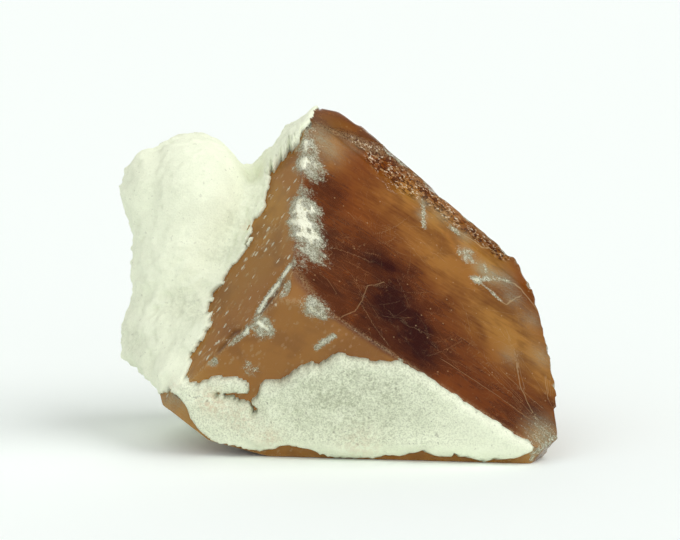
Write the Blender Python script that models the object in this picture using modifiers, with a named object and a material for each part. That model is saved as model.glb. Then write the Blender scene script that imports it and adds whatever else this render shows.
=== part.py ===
"""A brown topaz crystal grown on rhyolite, as a hand specimen that stands on its broken base.

The crystal is one blocky prism with slanted ends, cut from a cube face by face, the way a
crystallographer lists it. The matrix is one rock crust: a thick lobe up the left, a coat round the
back and a thin skin over the front lower face. Metres, +Z up, front towards -Y.
"""

import bmesh
import bpy
import numpy as np
from mathutils import Matrix, Vector

# Driving dimensions
FACES = {
    # name: azimuth and elevation of the outward normal in degrees, distance from the datum in metres
    "right front": (-55.9, 39.0, 0.01648),
    "lower front": (-97.1, -12.7, 0.00780),
    "left end": (-146.0, 33.5, 0.01832),
    "top": (-32.6, 59.5, 0.02523),
    "back slope": (17.6, 48.1, 0.02566),
    "left back": (176.8, 36.2, 0.02186),
    "back": (106.0, 9.7, 0.01355),
    "right end": (28.2, -12.5, 0.01443),
    "under left": (156.8, -47.9, 0.00509),
    "under toe": (-179.3, -75.4, 0.00181),
    "base": (0.0, -90.0, 0.0),
    "front corner": (-89.1, 26.5, 0.01721),
    "right corner": (31.3, 8.6, 0.01985),
    "tip": (-25.4, -41.3, 0.01596),
}
DATUM = (0.000406, -0.002104)  # where the datum of the faces stands, so that the whole is centred
BLANK_SIDE = 0.08  # the cube that the crystal is cut from
EDGE_ROUND = 0.00015
CONTACT_GAP = 0.0003  # between the crystal and the rock that grips it

# Chips broken out of the crystal: the faces that meet there, a point near, dish radius, depth
CHIPS = (
    (("right front", "left end"), (-0.0043, -0.0045, 0.0240), 0.0034, 0.00040),
    (("right front", "left end"), (-0.0038, 0.0010, 0.0295), 0.0026, 0.00030),
    (("left end", "front corner"), (-0.0062, -0.0092, 0.0172), 0.0022, 0.00035),
    (("left end", "lower front"), (-0.0100, -0.0096, 0.0122), 0.0030, 0.00030),
    (("right front", "back slope"), (0.0062, 0.0055, 0.0275), 0.0030, 0.00035),
    (("right front", "back slope"), (0.0092, 0.0052, 0.0250), 0.0038, 0.00040),
    (("right front", "back slope"), (0.0128, 0.0048, 0.0222), 0.0032, 0.00030),
    (("right front", "right corner"), (0.0186, 0.0030, 0.0166), 0.0030, 0.00030),
    (("right front", "right end"), (0.0206, -0.0040, 0.0080), 0.0040, 0.00030),
    (("tip", "right front"), (0.0206, -0.0098, 0.0022), 0.0024, 0.00045),
    (("tip", "lower front"), (0.0192, -0.0107, 0.0008), 0.0020, 0.00035),
)

# Growth ledges: the face, a point on the step, the step's direction, width stripped off, its depth
LEDGES = (
    ("right front", (0.0130, 0.0020, 0.0205), (1.0, -0.10, -0.79), 0.0200, 0.00025),
    ("right front", (0.0060, 0.0050, 0.0265), (1.0, 0.05, -0.64), 0.0150, 0.00020),
    ("back slope", (0.0060, 0.0100, 0.0262), (0.75, 0.45, -0.76), 0.0200, 0.00030),
    ("right end", (0.0170, 0.0030, 0.0080), (-0.35, 0.75, 0.25), 0.0200, 0.00030),
    ("back", (0.0080, 0.0150, 0.0120), (0.20, 0.05, -1.0), 0.0200, 0.00035),
)
LEDGE_LENGTH = 0.06
LEDGE_HEIGHT = 0.01

# Edge of the crust on the left end, as height and x, and the same on the back
LEFT_EDGE = (
    (0.0077, -0.0152),
    (0.0110, -0.0133),
    (0.0137, -0.0128),
    (0.0166, -0.0107),
    (0.0189, -0.0092),
    (0.0216, -0.0081),
    (0.0250, -0.0074),
    (0.0290, -0.0055),
    (0.0328, -0.0028),
)
BACK_EDGE = ((0.0, 0.003), (0.010, 0.0015), (0.020, -0.003), (0.027, -0.0045), (0.033, -0.0032))
# Upper and lower edge of the crust on the lower front, as x and height
UPPER_EDGE = (
    (-0.0152, 0.0078),
    (-0.0112, 0.0085),
    (-0.0088, 0.0072),
    (-0.0059, 0.0086),
    (-0.0029, 0.0103),
    (0.0003, 0.0112),
    (0.0050, 0.0107),
    (0.0082, 0.0095),
    (0.0122, 0.0062),
    (0.0189, 0.0018),
    (0.0196, 0.0002),
)
LOWER_EDGE = (
    (-0.0173, 0.0055),
    (-0.0148, 0.0041),
    (-0.0113, 0.0015),
    (-0.0027, 0.0009),
    (0.0040, 0.0004),
    (0.0086, 0.0010),
    (0.0123, 0.0005),
    (0.0184, 0.0011),
)
LEFT_COAT = 0.00115  # thickness of the crust over the left end, with its gap
APEX_COAT = 0.0004
FRONT_COAT = 0.00085
BARE_DEPTH = 0.0008  # how far the rock's surface dives into the crystal where it is bare
RIM = 0.0008  # width over which the crust reaches its thickness

# Lumps of the rock beyond the crystal: centre and half sizes
LUMPS = (
    ((-0.0142, 0.0044, 0.0244), (0.0072, 0.0060, 0.0061)),
    ((-0.0182, 0.0045, 0.0236), (0.0039, 0.0042, 0.0052)),
    ((-0.0108, 0.0058, 0.0238), (0.0036, 0.0040, 0.0026)),
    ((-0.0154, 0.0040, 0.0172), (0.0056, 0.0060, 0.0070)),
    ((-0.0170, 0.0032, 0.0102), (0.0046, 0.0058, 0.0048)),
    ((-0.0126, 0.0085, 0.0190), (0.0060, 0.0046, 0.0075)),
    ((-0.0120, 0.0075, 0.0085), (0.0070, 0.0065, 0.0072)),
)
LUMP_BLEND = 0.0022
# Roughness of the rock: size of the lumps, height, seed
ROUGHNESS = ((0.0042, 0.00065, 3), (0.0020, 0.00040, 4), (0.0010, 0.00020, 5))
ROCK_HEART = (-0.004, 0.006, 0.0155)  # every point of the rock's surface is seen from here
REACH = (0.002, 0.034)
RAY_STEPS = 90
THIN_ROUGHNESS = 0.3  # share of that roughness where the crust is thin
THICK_ROCK = 0.0025
ROCK_SUBDIVISIONS = 7
ROCK_DETAIL = 0.075  # share of the faces that stays

CRYSTAL_BROWN = (0.16, 0.062, 0.018, 1.0)
ROCK_CREAM = (0.62, 0.64, 0.50, 1.0)


def normal_of(azimuth, elevation):
    """The unit vector at this azimuth and elevation, in degrees."""
    turn, lift = np.radians((azimuth, elevation))
    return np.array([np.cos(lift) * np.cos(turn), np.cos(lift) * np.sin(turn), np.sin(lift)])


NORMALS = np.array([normal_of(azimuth, elevation) for azimuth, elevation, _ in FACES.values()])
DISTANCES = np.array([distance for _, _, distance in FACES.values()])


def eased(x):
    """0 to 1 with level ends."""
    x = np.clip(x, 0.0, 1.0)
    return x * x * (3.0 - 2.0 * x)


def along(x, points):
    """The value at x on the broken line through the points."""
    return np.interp(x, [point[0] for point in points], [point[1] for point in points])


def clear_scene():
    for old in list(bpy.data.objects):
        bpy.data.objects.remove(old, do_unlink=True)


def new_collection(name):
    collection = bpy.data.collections.new(name)
    bpy.context.scene.collection.children.link(collection)
    return collection


def material(name, colour, roughness, transmission=0.0):
    made = bpy.data.materials.new(name)
    made.use_nodes = True
    principled = made.node_tree.nodes["Principled BSDF"]
    principled.inputs["Base Color"].default_value = colour
    principled.inputs["Roughness"].default_value = roughness
    principled.inputs["Metallic"].default_value = 0.0
    principled.inputs["Transmission Weight"].default_value = transmission
    return made


def put(name, bm, collection):
    """The bmesh as an object, moved from the datum of the faces to where the specimen stands."""
    bmesh.ops.translate(bm, verts=bm.verts, vec=(DATUM[0], DATUM[1], 0.0))
    mesh = bpy.data.meshes.new(name)
    bm.to_mesh(mesh)
    bm.free()
    made = bpy.data.objects.new(name, mesh)
    collection.objects.link(made)
    return made


def helper(made):
    made.hide_render = True
    made.display_type = "WIRE"
    return made


def polyhedron(grow):
    """A cube with one plane cut for each face of the crystal, each moved out by grow."""
    bm = bmesh.new()
    bmesh.ops.create_cube(bm, size=BLANK_SIDE)
    for normal, distance in zip(NORMALS, DISTANCES):
        cut = bmesh.ops.bisect_plane(
            bm,
            geom=bm.verts[:] + bm.edges[:] + bm.faces[:],
            plane_co=Vector(normal * (distance + grow)),
            plane_no=Vector(normal),
            clear_outer=True,
        )
        rim = [item for item in cut["geom_cut"] if isinstance(item, bmesh.types.BMEdge)]
        if rim:
            bmesh.ops.contextual_create(bm, geom=rim)
    bmesh.ops.recalc_face_normals(bm, faces=bm.faces)
    return bm


def chip_cutter(number, faces, near, radius, depth, collection):
    """A ball that takes a shell-shaped dish out of the edge between two faces."""
    rows = [list(FACES).index(name) for name in faces]
    outward = NORMALS[rows].sum(axis=0)
    outward /= np.linalg.norm(outward)
    # The edge's nearest point: move the guess onto both planes
    point = np.array(near)
    point = point + np.linalg.pinv(NORMALS[rows]) @ (DISTANCES[rows] - NORMALS[rows] @ point)
    bm = bmesh.new()
    bmesh.ops.create_icosphere(bm, subdivisions=3, radius=radius)
    bmesh.ops.translate(bm, verts=bm.verts, vec=Vector(point + outward * (radius - depth)))
    return helper(put(f"chip_{number}", bm, collection))


def ledge_cutter(number, face, step, direction, width, depth, collection):
    """A block that strips one growth layer off a face, as far back as the step."""
    row = list(FACES).index(face)
    outward = NORMALS[row]
    step = np.array(step)
    step = step + outward * (DISTANCES[row] - outward @ step)
    run = np.array(direction) - outward * (outward @ np.array(direction))
    run /= np.linalg.norm(run)
    away = np.cross(outward, run)
    centre = step + away * width / 2.0 + outward * (LEDGE_HEIGHT / 2.0 - depth)
    turned = Matrix((run, away, outward)).transposed().to_4x4()
    bm = bmesh.new()
    bmesh.ops.create_cube(bm, size=1.0)
    bmesh.ops.scale(bm, verts=bm.verts, vec=(LEDGE_LENGTH, width, LEDGE_HEIGHT))
    bmesh.ops.transform(bm, verts=bm.verts, matrix=Matrix.Translation(centre) @ turned)
    return helper(put(f"ledge_{number}", bm, collection))


def cut_away(crystal, name, cutter):
    broken = crystal.modifiers.new(name, "BOOLEAN")
    broken.operation = "DIFFERENCE"
    broken.object = cutter


def make_crystal(collection, cutters):
    crystal = put("topaz_crystal", polyhedron(0.0), collection)
    bevel = crystal.modifiers.new("worn edges", "BEVEL")
    bevel.width = EDGE_ROUND
    bevel.segments = 2
    bevel.limit_method = "ANGLE"
    for number, ledge in enumerate(LEDGES):
        cut_away(crystal, f"ledge {number}", ledge_cutter(number, *ledge, cutters))
    for number, chip in enumerate(CHIPS):
        cut_away(crystal, f"chip {number}", chip_cutter(number, *chip, cutters))
    crystal.data.materials.append(material("brown topaz", CRYSTAL_BROWN, 0.12, 0.5))
    return crystal


def lattice_noise(points, cell, seed, side=32):
    """Random values between -1 and 1 on a cubic lattice, eased between its points."""
    values = np.random.default_rng(seed).random((side, side, side)) * 2.0 - 1.0
    place = points / cell
    low = np.floor(place).astype(int)
    part = eased(place - low)
    total = np.zeros(points.shape[:-1])
    for corner in np.ndindex(2, 2, 2):
        at = (low + corner) % side
        weight = np.where(np.array(corner) == 1, part, 1.0 - part).prod(axis=-1)
        total += weight * values[at[..., 0], at[..., 1], at[..., 2]]
    return total


def crystal_depth(points, blend=0.00025):
    """Distance outside the crystal, with its edges a little rounded."""
    distance = points @ NORMALS.T - DISTANCES
    nearest = distance.max(axis=-1)
    return nearest + blend * np.log(np.exp((distance - nearest[..., None]) / blend).sum(axis=-1))


def crust_cover(points):
    """How far inside the edge of the crust a point is: on the sides, then on the front."""
    x, y, z = points[..., 0], points[..., 1], points[..., 2]
    behind = eased((y - 0.0035) / 0.005)
    edge = (1.0 - behind) * along(z, LEFT_EDGE) + behind * along(z, BACK_EDGE)
    above_toe = z - along(x, LOWER_EDGE)
    side = np.minimum(edge - x, np.maximum(above_toe, y + 0.0045))
    row = list(FACES).index("lower front")
    on_front = 0.0012 + points @ NORMALS[row] - DISTANCES[row]
    front = np.minimum(np.minimum(along(x, UPPER_EDGE) - z, above_toe), on_front)
    return side, front


def joined(first, second, blend):
    """The lesser of two distances, rounded where they meet."""
    near = np.maximum(blend - np.abs(first - second), 0.0) / blend
    return np.minimum(first, second) - near * near * blend * 0.25


def rock_distance(points):
    """Below 0 inside the rock, or inside the crystal that it grips."""
    side, front = crust_cover(points)
    left_coat = LEFT_COAT + (APEX_COAT - LEFT_COAT) * eased((points[..., 2] - 0.0265) / 0.004)
    coat = np.where(side > front, left_coat, FRONT_COAT)
    inside = eased((np.maximum(side, front) + 0.00045) / RIM)
    distance = crystal_depth(points) - ((coat + BARE_DEPTH) * inside - BARE_DEPTH)
    for centre, half in LUMPS:
        reach = np.linalg.norm((points - np.array(centre)) / np.array(half), axis=-1)
        distance = joined(distance, (reach - 1.0) * min(half), LUMP_BLEND)
    return distance


def roughness(points):
    """How far the rock's rough surface stands in from or out of its smooth one."""
    thick = eased(crystal_depth(points) / THICK_ROCK)
    share = THIN_ROUGHNESS + (1.0 - THIN_ROUGHNESS) * thick
    return share * sum(height * lattice_noise(points, cell, seed) for cell, height, seed in ROUGHNESS)


def outermost(directions):
    """How far along each ray from the heart the rock's surface lies, its last crossing."""
    heart = np.array(ROCK_HEART)
    steps = np.linspace(*REACH, RAY_STEPS)
    found = np.full(len(directions), steps[0])
    before = rock_distance(heart + directions * steps[0])
    for start, stop in zip(steps[:-1], steps[1:]):
        after = rock_distance(heart + directions * stop)
        leaves = (before < 0.0) & (after >= 0.0)
        share = np.divide(-before, after - before, out=np.zeros_like(after), where=leaves)
        found = np.where(leaves, start + (stop - start) * share, found)
        before = after
    return found


def rock_blob():
    """The rock's outer surface: a ball whose points move along their rays, cut off at the ground."""
    bm = bmesh.new()
    bmesh.ops.create_icosphere(bm, subdivisions=ROCK_SUBDIVISIONS, radius=1.0)
    directions = np.array([vert.co[:] for vert in bm.verts])
    directions /= np.linalg.norm(directions, axis=1, keepdims=True)
    surface = np.array(ROCK_HEART) + directions * outermost(directions)[:, None]
    surface = surface + directions * roughness(surface)[:, None]
    for vert, place in zip(bm.verts, surface):
        vert.co = place
    return bm


def largest_part(bm):
    """Leaves only the biggest of the separate parts of the mesh."""
    waiting = set(bm.verts)
    parts = []
    while waiting:
        part = {waiting.pop()}
        edge = list(part)
        while edge:
            nearby = {link.other_vert(vert) for vert in edge for link in vert.link_edges}
            edge = list(nearby & waiting)
            part.update(edge)
            waiting.difference_update(edge)
        parts.append(part)
    parts.sort(key=len)
    spare = [vert for part in parts[:-1] for vert in part]
    bmesh.ops.delete(bm, geom=spare, context="VERTS")


def cut_at_ground(bm):
    cut = bmesh.ops.bisect_plane(
        bm,
        geom=bm.verts[:] + bm.edges[:] + bm.faces[:],
        plane_co=(0.0, 0.0, 0.0),
        plane_no=(0.0, 0.0, -1.0),
        clear_outer=True,
    )
    rim = [item for item in cut["geom_cut"] if isinstance(item, bmesh.types.BMEdge)]
    bmesh.ops.contextual_create(bm, geom=rim)


def make_matrix(collection, cutters):
    """The rock blob, thinned to its detail, with the crystal's seat cut out of it."""
    blob = helper(put("rock_blob", rock_blob(), cutters))
    thinned = blob.modifiers.new("thinned", "DECIMATE")
    thinned.ratio = ROCK_DETAIL
    seat = blob.modifiers.new("crystal seat", "BOOLEAN")
    seat.operation = "DIFFERENCE"
    seat.object = helper(put("crystal_seat", polyhedron(CONTACT_GAP), cutters))
    graph = bpy.context.evaluated_depsgraph_get()
    mesh = bpy.data.meshes.new_from_object(blob.evaluated_get(graph))
    bpy.data.objects.remove(blob)
    bm = bmesh.new()
    bm.from_mesh(mesh)
    cut_at_ground(bm)
    largest_part(bm)
    bmesh.ops.triangulate(bm, faces=bm.faces)
    bm.to_mesh(mesh)
    bm.free()
    mesh.name = "rhyolite_matrix"
    matrix = bpy.data.objects.new("rhyolite_matrix", mesh)
    collection.objects.link(matrix)
    mesh.shade_smooth()
    mesh.set_sharp_from_angle(angle=0.7)
    mesh.materials.append(material("rhyolite", ROCK_CREAM, 0.9))
    return matrix


def main():
    clear_scene()
    specimen = new_collection("topaz specimen")
    cutters = new_collection("cutters")
    make_crystal(specimen, cutters)
    make_matrix(specimen, cutters)


main()
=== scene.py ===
"""The looks of a brown topaz crystal on rhyolite, laid out as an add-on and run as a script.

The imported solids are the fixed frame. The crystal and its matrix are made again as fine surfaces
worked out with numpy, from the same faces and lumps as the solids, and take their place. Metres,
+Z up, front towards -Y. Points are worked out about the datum of the crystal's faces and moved by
SHIFT when they go into a mesh.
"""

import itertools

import bpy
import numpy as np
from bpy.props import FloatProperty, FloatVectorProperty, PointerProperty
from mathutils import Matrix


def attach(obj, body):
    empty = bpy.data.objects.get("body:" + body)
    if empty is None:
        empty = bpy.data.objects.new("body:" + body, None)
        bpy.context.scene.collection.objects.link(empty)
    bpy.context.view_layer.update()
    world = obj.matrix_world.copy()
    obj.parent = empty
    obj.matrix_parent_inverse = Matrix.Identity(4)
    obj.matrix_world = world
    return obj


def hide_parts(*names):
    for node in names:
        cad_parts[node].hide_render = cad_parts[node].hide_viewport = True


bl_info = {
    "name": "Topaz on rhyolite",
    "version": (1, 0, 0),
    "blender": (4, 5, 0),
    "location": "3D View > Sidebar > Topaz",
    "description": "Grows a brown topaz crystal and its rhyolite matrix around their solids",
    "category": "Add Mesh",
}

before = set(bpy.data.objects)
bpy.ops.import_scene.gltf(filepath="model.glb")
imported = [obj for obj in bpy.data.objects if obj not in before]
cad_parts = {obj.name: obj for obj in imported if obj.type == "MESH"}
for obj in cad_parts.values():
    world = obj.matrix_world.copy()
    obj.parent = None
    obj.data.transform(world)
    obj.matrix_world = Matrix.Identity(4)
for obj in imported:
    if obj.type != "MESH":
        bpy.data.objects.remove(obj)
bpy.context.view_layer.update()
MM = 0.001  # the tables below give lengths in millimetres


def metres(lengths):
    """Lengths in millimetres as an array of metres."""
    return np.array(lengths) * MM


def spots(*rows):
    """Rows of x, y, z and radius in millimetres as place and radius in metres, with their plain numbers."""
    return [(metres(row[:3]), row[3] * MM, *row[4:]) for row in rows]


# Where the datum of the crystal's faces stands
SHIFT = metres((0.406, -2.104, 0.0))

# The crystal's faces: azimuth and elevation of the outward normal in degrees, distance from the datum in mm
FACES = {
    "right front": (-55.9, 39.0, 16.48),
    "lower front": (-97.1, -12.7, 7.8),
    "left end": (-146.0, 33.5, 18.32),
    "top": (-32.6, 59.5, 25.23),
    "back slope": (17.6, 48.1, 25.66),
    "left back": (176.8, 36.2, 21.86),
    "back": (106.0, 9.7, 13.55),
    "right end": (28.2, -12.5, 14.43),
    "under left": (156.8, -47.9, 5.09),
    "under toe": (-179.3, -75.4, 1.81),
    "base": (0.0, -90.0, 0.0),
    "front corner": (-89.1, 26.5, 17.21),
    "right corner": (31.3, 8.6, 19.85),
    "tip": (-25.4, -41.3, 15.96),
}
SEEN_FACES = ("right front", "left end", "lower front", "top", "front corner")
# Which way the right front face is streaked, and the left end flecked
STREAK_RUN = np.array([0.834, 0.023, -0.552])
FLECK_RUN = np.array([0.568, 0.114, 0.814])
# Where the long scratches of the right front face meet, and where its hatching and loose hairs lie
FAN_CENTRE = metres((20.2, -7.7, 4.3))
HATCHING = metres((-2.8, -5.8, 21.6))
HAIRS = metres((8.0, -5.0, 15.8))
CRYSTAL_HEART = metres((1.5, 1.8, 11.3))

# Dishes broken out of the edges: the two faces, a point near, dish radius, depth
CHIPS = [
    (faces, metres(near), radius * MM, depth * MM)
    for faces, near, radius, depth in (
        (("right front", "left end"), (-4.3, -4.5, 24.0), 3.4, 0.4),
        (("right front", "left end"), (-3.8, 1.0, 29.5), 2.6, 0.3),
        (("left end", "front corner"), (-6.2, -9.2, 17.2), 2.2, 0.35),
        (("left end", "lower front"), (-10.0, -9.6, 12.2), 3.0, 0.3),
        (("right front", "back slope"), (6.2, 5.5, 27.5), 3.0, 0.35),
        (("right front", "back slope"), (9.2, 5.2, 25.0), 3.8, 0.4),
        (("right front", "back slope"), (12.8, 4.8, 22.2), 3.2, 0.3),
        (("right front", "right corner"), (18.6, 3.0, 16.6), 3.0, 0.3),
        (("right front", "right end"), (20.6, -4.0, 8.0), 3.0, 0.12),
        (("tip", "right front"), (20.6, -9.8, 2.2), 2.4, 0.45),
        (("tip", "lower front"), (19.2, -10.7, 0.8), 2.0, 0.35),
    )
]
# Rows of small nicks along an edge: two faces, how many, smallest and largest radius, depth share
NICK_ROWS = [
    (faces, count, small * MM, large * MM, share)
    for faces, count, small, large, share in (
        (("right front", "lower front"), 34, 0.3, 0.9, 0.16),
        (("right front", "left end"), 30, 0.3, 1.1, 0.22),
        (("left end", "lower front"), 16, 0.3, 1.0, 0.18),
        (("right front", "back slope"), 46, 0.4, 1.6, 0.26),
        (("right front", "right corner"), 8, 0.4, 1.0, 0.22),
        (("right front", "right end"), 26, 0.3, 0.9, 0.12),
        (("right front", "tip"), 10, 0.4, 1.2, 0.3),
        (("lower front", "tip"), 5, 0.4, 1.0, 0.3),
        (("back slope", "back"), 18, 0.4, 1.4, 0.2),
        (("back slope", "right corner"), 14, 0.4, 1.2, 0.2),
        (("back", "right end"), 20, 0.4, 1.4, 0.2),
        (("top", "back slope"), 10, 0.3, 0.9, 0.18),
    )
]
# Places where the crystal bulges a little over its straight edges: place and radius, height
SWELLS = [(place, radius, height * MM) for place, radius, height in spots(
    (1.0, 8.3, 31.5, 3.2, 0.36), (4.0, 6.4, 29.3, 2.6, 0.12), (20.5, -3.0, 9.0, 6.5, 0.3),
)]
# Growth ledges: the face, a point on the step, the step's direction, and its depth
LEDGES = [
    (face, metres(step), np.array(way), depth * MM)
    for face, step, way, depth in (
        ("right front", (13.0, 2.0, 20.5), (1.0, -0.1, -0.79), 0.12),
        ("right front", (6.0, 5.0, 26.5), (1.0, 0.05, -0.64), 0.1),
        ("back slope", (6.0, 10.0, 26.2), (0.75, 0.45, -0.76), 0.3),
        ("back slope", (12.0, 9.0, 21.5), (-0.6, -0.65, 0.86), 0.18),
        ("right end", (17.0, 3.0, 8.0), (0.35, -0.75, -0.25), 0.3),
        ("right end", (16.5, 7.0, 4.0), (0.6, -0.95, 0.1), 0.2),
        ("back", (8.0, 15.0, 12.0), (0.2, 0.05, -1.0), 0.35),
        ("back", (5.0, 15.0, 18.0), (0.55, 0.05, -1.0), 0.2),
    )
]
LEDGE_WIDTH = 20.0 * MM

# Bruises, where the crystal is crushed white: place and radius, how white, how rough
BRUISES = spots(
    (-3.6, 3.0, 31.4, 0.8, 0.55, 0.5), (-3.7, 1.6, 30.4, 1.2, 0.75, 0.6),
    (-3.4, -0.1, 28.6, 1.3, 0.85, 0.7), (-2.6, -1.0, 27.5, 0.9, 0.6, 0.6),
    (-3.6, -2.8, 26.0, 0.9, 0.5, 0.7), (-3.8, -4.0, 24.7, 1.3, 0.95, 0.8),
    (-3.7, -5.2, 23.3, 1.3, 1.0, 0.9), (-3.2, -6.2, 22.2, 1.4, 0.8, 0.9),
    (-2.8, -7.5, 20.8, 1.3, 0.62, 0.8), (-4.0, -8.7, 19.2, 0.7, 0.6, 0.6),
    (-2.3, -11.3, 15.7, 1.0, 0.7, 0.6), (-7.6, -10.2, 13.6, 1.0, 0.9, 0.7),
    (-9.3, -9.9, 13.2, 0.5, 0.9, 0.7), (-8.8, -9.1, 9.2, 0.8, 0.45, 0.5),
    (11.6, 2.9, 21.2, 0.6, 0.7, 0.5), (12.8, 1.4, 18.8, 0.8, 0.6, 0.4),
    (13.7, -0.2, 16.5, 0.5, 0.7, 0.4), (20.6, -9.8, 2.2, 2.2, 0.36, 1.0),
)
# Scores, cracks and veils: the face, the path, width, depth, and how white, or below 0 how dark
STROKES = [
    (face, metres(path), width * MM, depth * MM, pale)
    for face, path, width, depth, pale in (
        ("left end", ((-5.0, -8.9, 19.4), (-6.1, -9.2, 17.8), (-7.2, -9.2, 16.3), (-8.0, -9.5, 15.1)),
         0.42, 0.16, 0.95),
        ("left end", ((-5.5, -9.7, 18.2), (-6.3, -9.9, 16.9), (-7.8, -9.9, 15.1)), 0.35, 0.22, -0.8),
        ("left end", ((-9.1, -10.1, 13.3), (-10.4, -8.7, 12.8), (-12.0, -8.7, 10.9)), 0.28, 0.15, -0.6),
        ("lower front", ((-2.2, -10.4, 11.7), (-1.5, -10.7, 12.3), (-0.6, -10.9, 12.9)),
         0.35, 0.08, 0.85),
        ("right front", ((8.4, 3.8, 24.3), (8.4, 1.3, 21.7)), 0.4, 0.03, 0.5),
        ("right front", ((14.4, 1.6, 17.9), (14.7, 1.1, 17.1)), 0.24, 0.02, 0.6),
        ("right front", ((13.7, -0.2, 16.5), (15.5, 1.0, 16.4), (16.8, 1.5, 16.1)), 0.34, 0.02, 0.52),
        ("right front", ((13.7, -0.2, 16.5), (14.9, -0.3, 15.5), (16.0, -0.7, 14.5)), 0.26, 0.02, 0.48),
        ("right front", ((13.7, -0.2, 16.5), (14.8, 0.6, 16.6)), 0.26, 0.03, 0.6),
    )
]
# Fine lines on the right front face: the path, half width, how white
LINES = [
    (metres(path), half * MM, white)
    for path, half, white in (
        (((0.2, -11.0, 14.8), (1.4, -9.8, 15.1), (2.1, -8.6, 15.9), (2.7, -7.0, 17.1),
          (3.5, -6.4, 17.1), (4.3, -5.8, 17.3)), 0.04, 0.42),
        (((11.8, 3.2, 21.3), (12.5, 3.2, 20.8), (14.5, 3.1, 19.3), (15.6, 3.6, 19.2),
          (16.7, 3.7, 18.5)), 0.05, 0.95),
        (((13.7, -0.2, 16.5), (15.5, 1.0, 16.4), (16.5, 1.5, 16.2), (17.4, 1.7, 15.9),
          (18.6, 1.2, 14.7), (19.6, 0.6, 13.3)), 0.07, 0.85),
        (((13.7, -0.2, 16.5), (14.9, -0.3, 15.5), (15.7, -0.6, 14.8), (16.5, -0.7, 14.1),
          (17.1, 0.1, 14.4), (17.9, 0.8, 14.6)), 0.06, 0.75),
        (((17.1, -4.0, 10.0), (17.3, -6.3, 7.8), (18.1, -7.5, 5.9), (19.3, -8.6, 4.0)), 0.045, 0.6),
        (((-4.4, -6.0, 22.1), (-3.0, -6.2, 20.7), (-1.5, -5.3, 20.8)), 0.09, 0.8),
        (((-4.0, -7.8, 20.3), (-2.6, -7.8, 19.2), (-1.2, -6.8, 19.4)), 0.08, 0.7),
    )
]

# Pools of painted shade, where the body shows darker, and of painted light, where it shows paler: place and
# radius, strength
PAINTED_SHADE_POOLS = spots(
    (-2.0, -1.7, 25.8, 2.5, 0.32), (0.5, 0.2, 26.0, 3.0, 0.25), (-1.0, -6.2, 20.6, 3.4, 0.48),
    (-2.0, -9.2, 18.1, 2.5, 0.24), (1.0, -7.2, 18.2, 1.8, 0.12), (3.9, -5.0, 18.4, 3.2, 0.58),
    (6.9, -3.4, 18.0, 2.2, 0.28), (3.4, -8.6, 15.0, 3.0, 0.32), (0.5, -10.3, 15.3, 2.0, 0.3),
    (6.4, -6.9, 14.7, 3.2, 0.58), (9.9, -4.9, 14.3, 2.2, 0.26), (5.9, -10.1, 11.8, 3.2, 0.55),
    (8.8, -8.4, 11.5, 3.0, 0.32), (8.8, -10.5, 9.4, 2.4, 0.25), (14.7, -10.0, 5.8, 3.5, 0.34),
    (17.7, -8.3, 5.5, 3.0, 0.32), (20.2, -7.3, 4.7, 2.0, 0.26),
)
PAINTED_LIGHT_POOLS = spots(
    (-1.5, 1.2, 28.4, 2.2, 0.5), (-1.0, 4.1, 31.0, 2.5, 0.6), (5.0, 1.6, 24.3, 3.4, 0.35),
    (9.0, 0.5, 20.4, 4.0, 0.45), (11.0, -0.9, 17.6, 3.4, 0.35), (13.4, -2.9, 14.0, 3.4, 0.4),
    (17.0, -1.7, 12.7, 3.4, 0.5), (16.4, -4.5, 10.2, 3.0, 0.35), (19.4, -3.6, 9.0, 2.6, 0.5),
    (20.3, -5.2, 6.8, 2.0, 0.4), (7.0, 3.6, 25.0, 1.8, 0.6), (10.1, 3.2, 22.5, 1.8, 0.8),
    (13.1, 2.9, 20.0, 1.8, 0.8), (16.1, 2.7, 17.8, 1.8, 0.7), (14.5, 1.1, 17.3, 1.6, 0.6),
    (20.0, -9.6, 2.4, 2.4, 0.95), (-7.5, -1.0, 23.5, 3.4, 0.35), (-14.0, -6.0, 9.0, 3.0, 0.2),
    (-16.0, -7.0, 4.5, 3.6, 1.0),
)
# Places where the crystal is hazy with fine cracks: place and radius, strength. The last three, low on the
# left, are also painted light.
HAZES = spots(
    (-2.2, 2.8, 30.6, 1.4, 0.5), (-1.0, 2.3, 29.3, 1.4, 0.42), (1.5, 4.0, 29.8, 1.3, 0.2),
    (8.5, 3.6, 24.0, 0.7, 0.6), (8.3, 2.2, 22.7, 0.6, 0.55), (10.4, 3.4, 22.6, 1.0, 0.35),
    (12.7, 1.5, 18.9, 0.7, 0.6), (12.6, 3.0, 20.5, 0.9, 0.4), (14.2, 1.2, 17.5, 0.8, 0.65),
    (15.2, 1.0, 16.6, 0.9, 0.65), (16.6, 1.6, 16.1, 1.1, 0.48), (17.2, 0.2, 14.7, 1.0, 0.4),
    (18.8, -0.6, 12.5, 1.2, 0.3), (19.7, -3.2, 9.5, 1.2, 0.32), (16.5, -5.0, 9.8, 1.0, 0.22),
    (20.0, -9.5, 2.8, 1.8, 0.7), (-16.3, -7.8, 6.2, 1.8, 0.55), (-15.0, -8.5, 4.0, 1.0, 0.3),
    (-14.0, -8.4, 3.0, 1.0, 0.3),
)

# The pitted zone under the top edge of the right front face: its path, and its half width at x
PITTED_PATH = metres((
    (1.8, 5.1, 30.2), (4.6, 4.7, 27.8), (7.7, 4.8, 25.8), (9.7, 4.4, 24.0), (12.1, 3.9, 21.8),
    (14.6, 3.9, 20.1), (16.7, 3.8, 18.6),
))
PITTED_HALF = metres((
    (1.8, 0.8), (3.2, 1.4), (4.6, 2.0), (6.2, 2.1), (7.7, 1.8), (9.7, 1.2), (12.5, 0.9),
    (18.0, 0.6),
))

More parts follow.
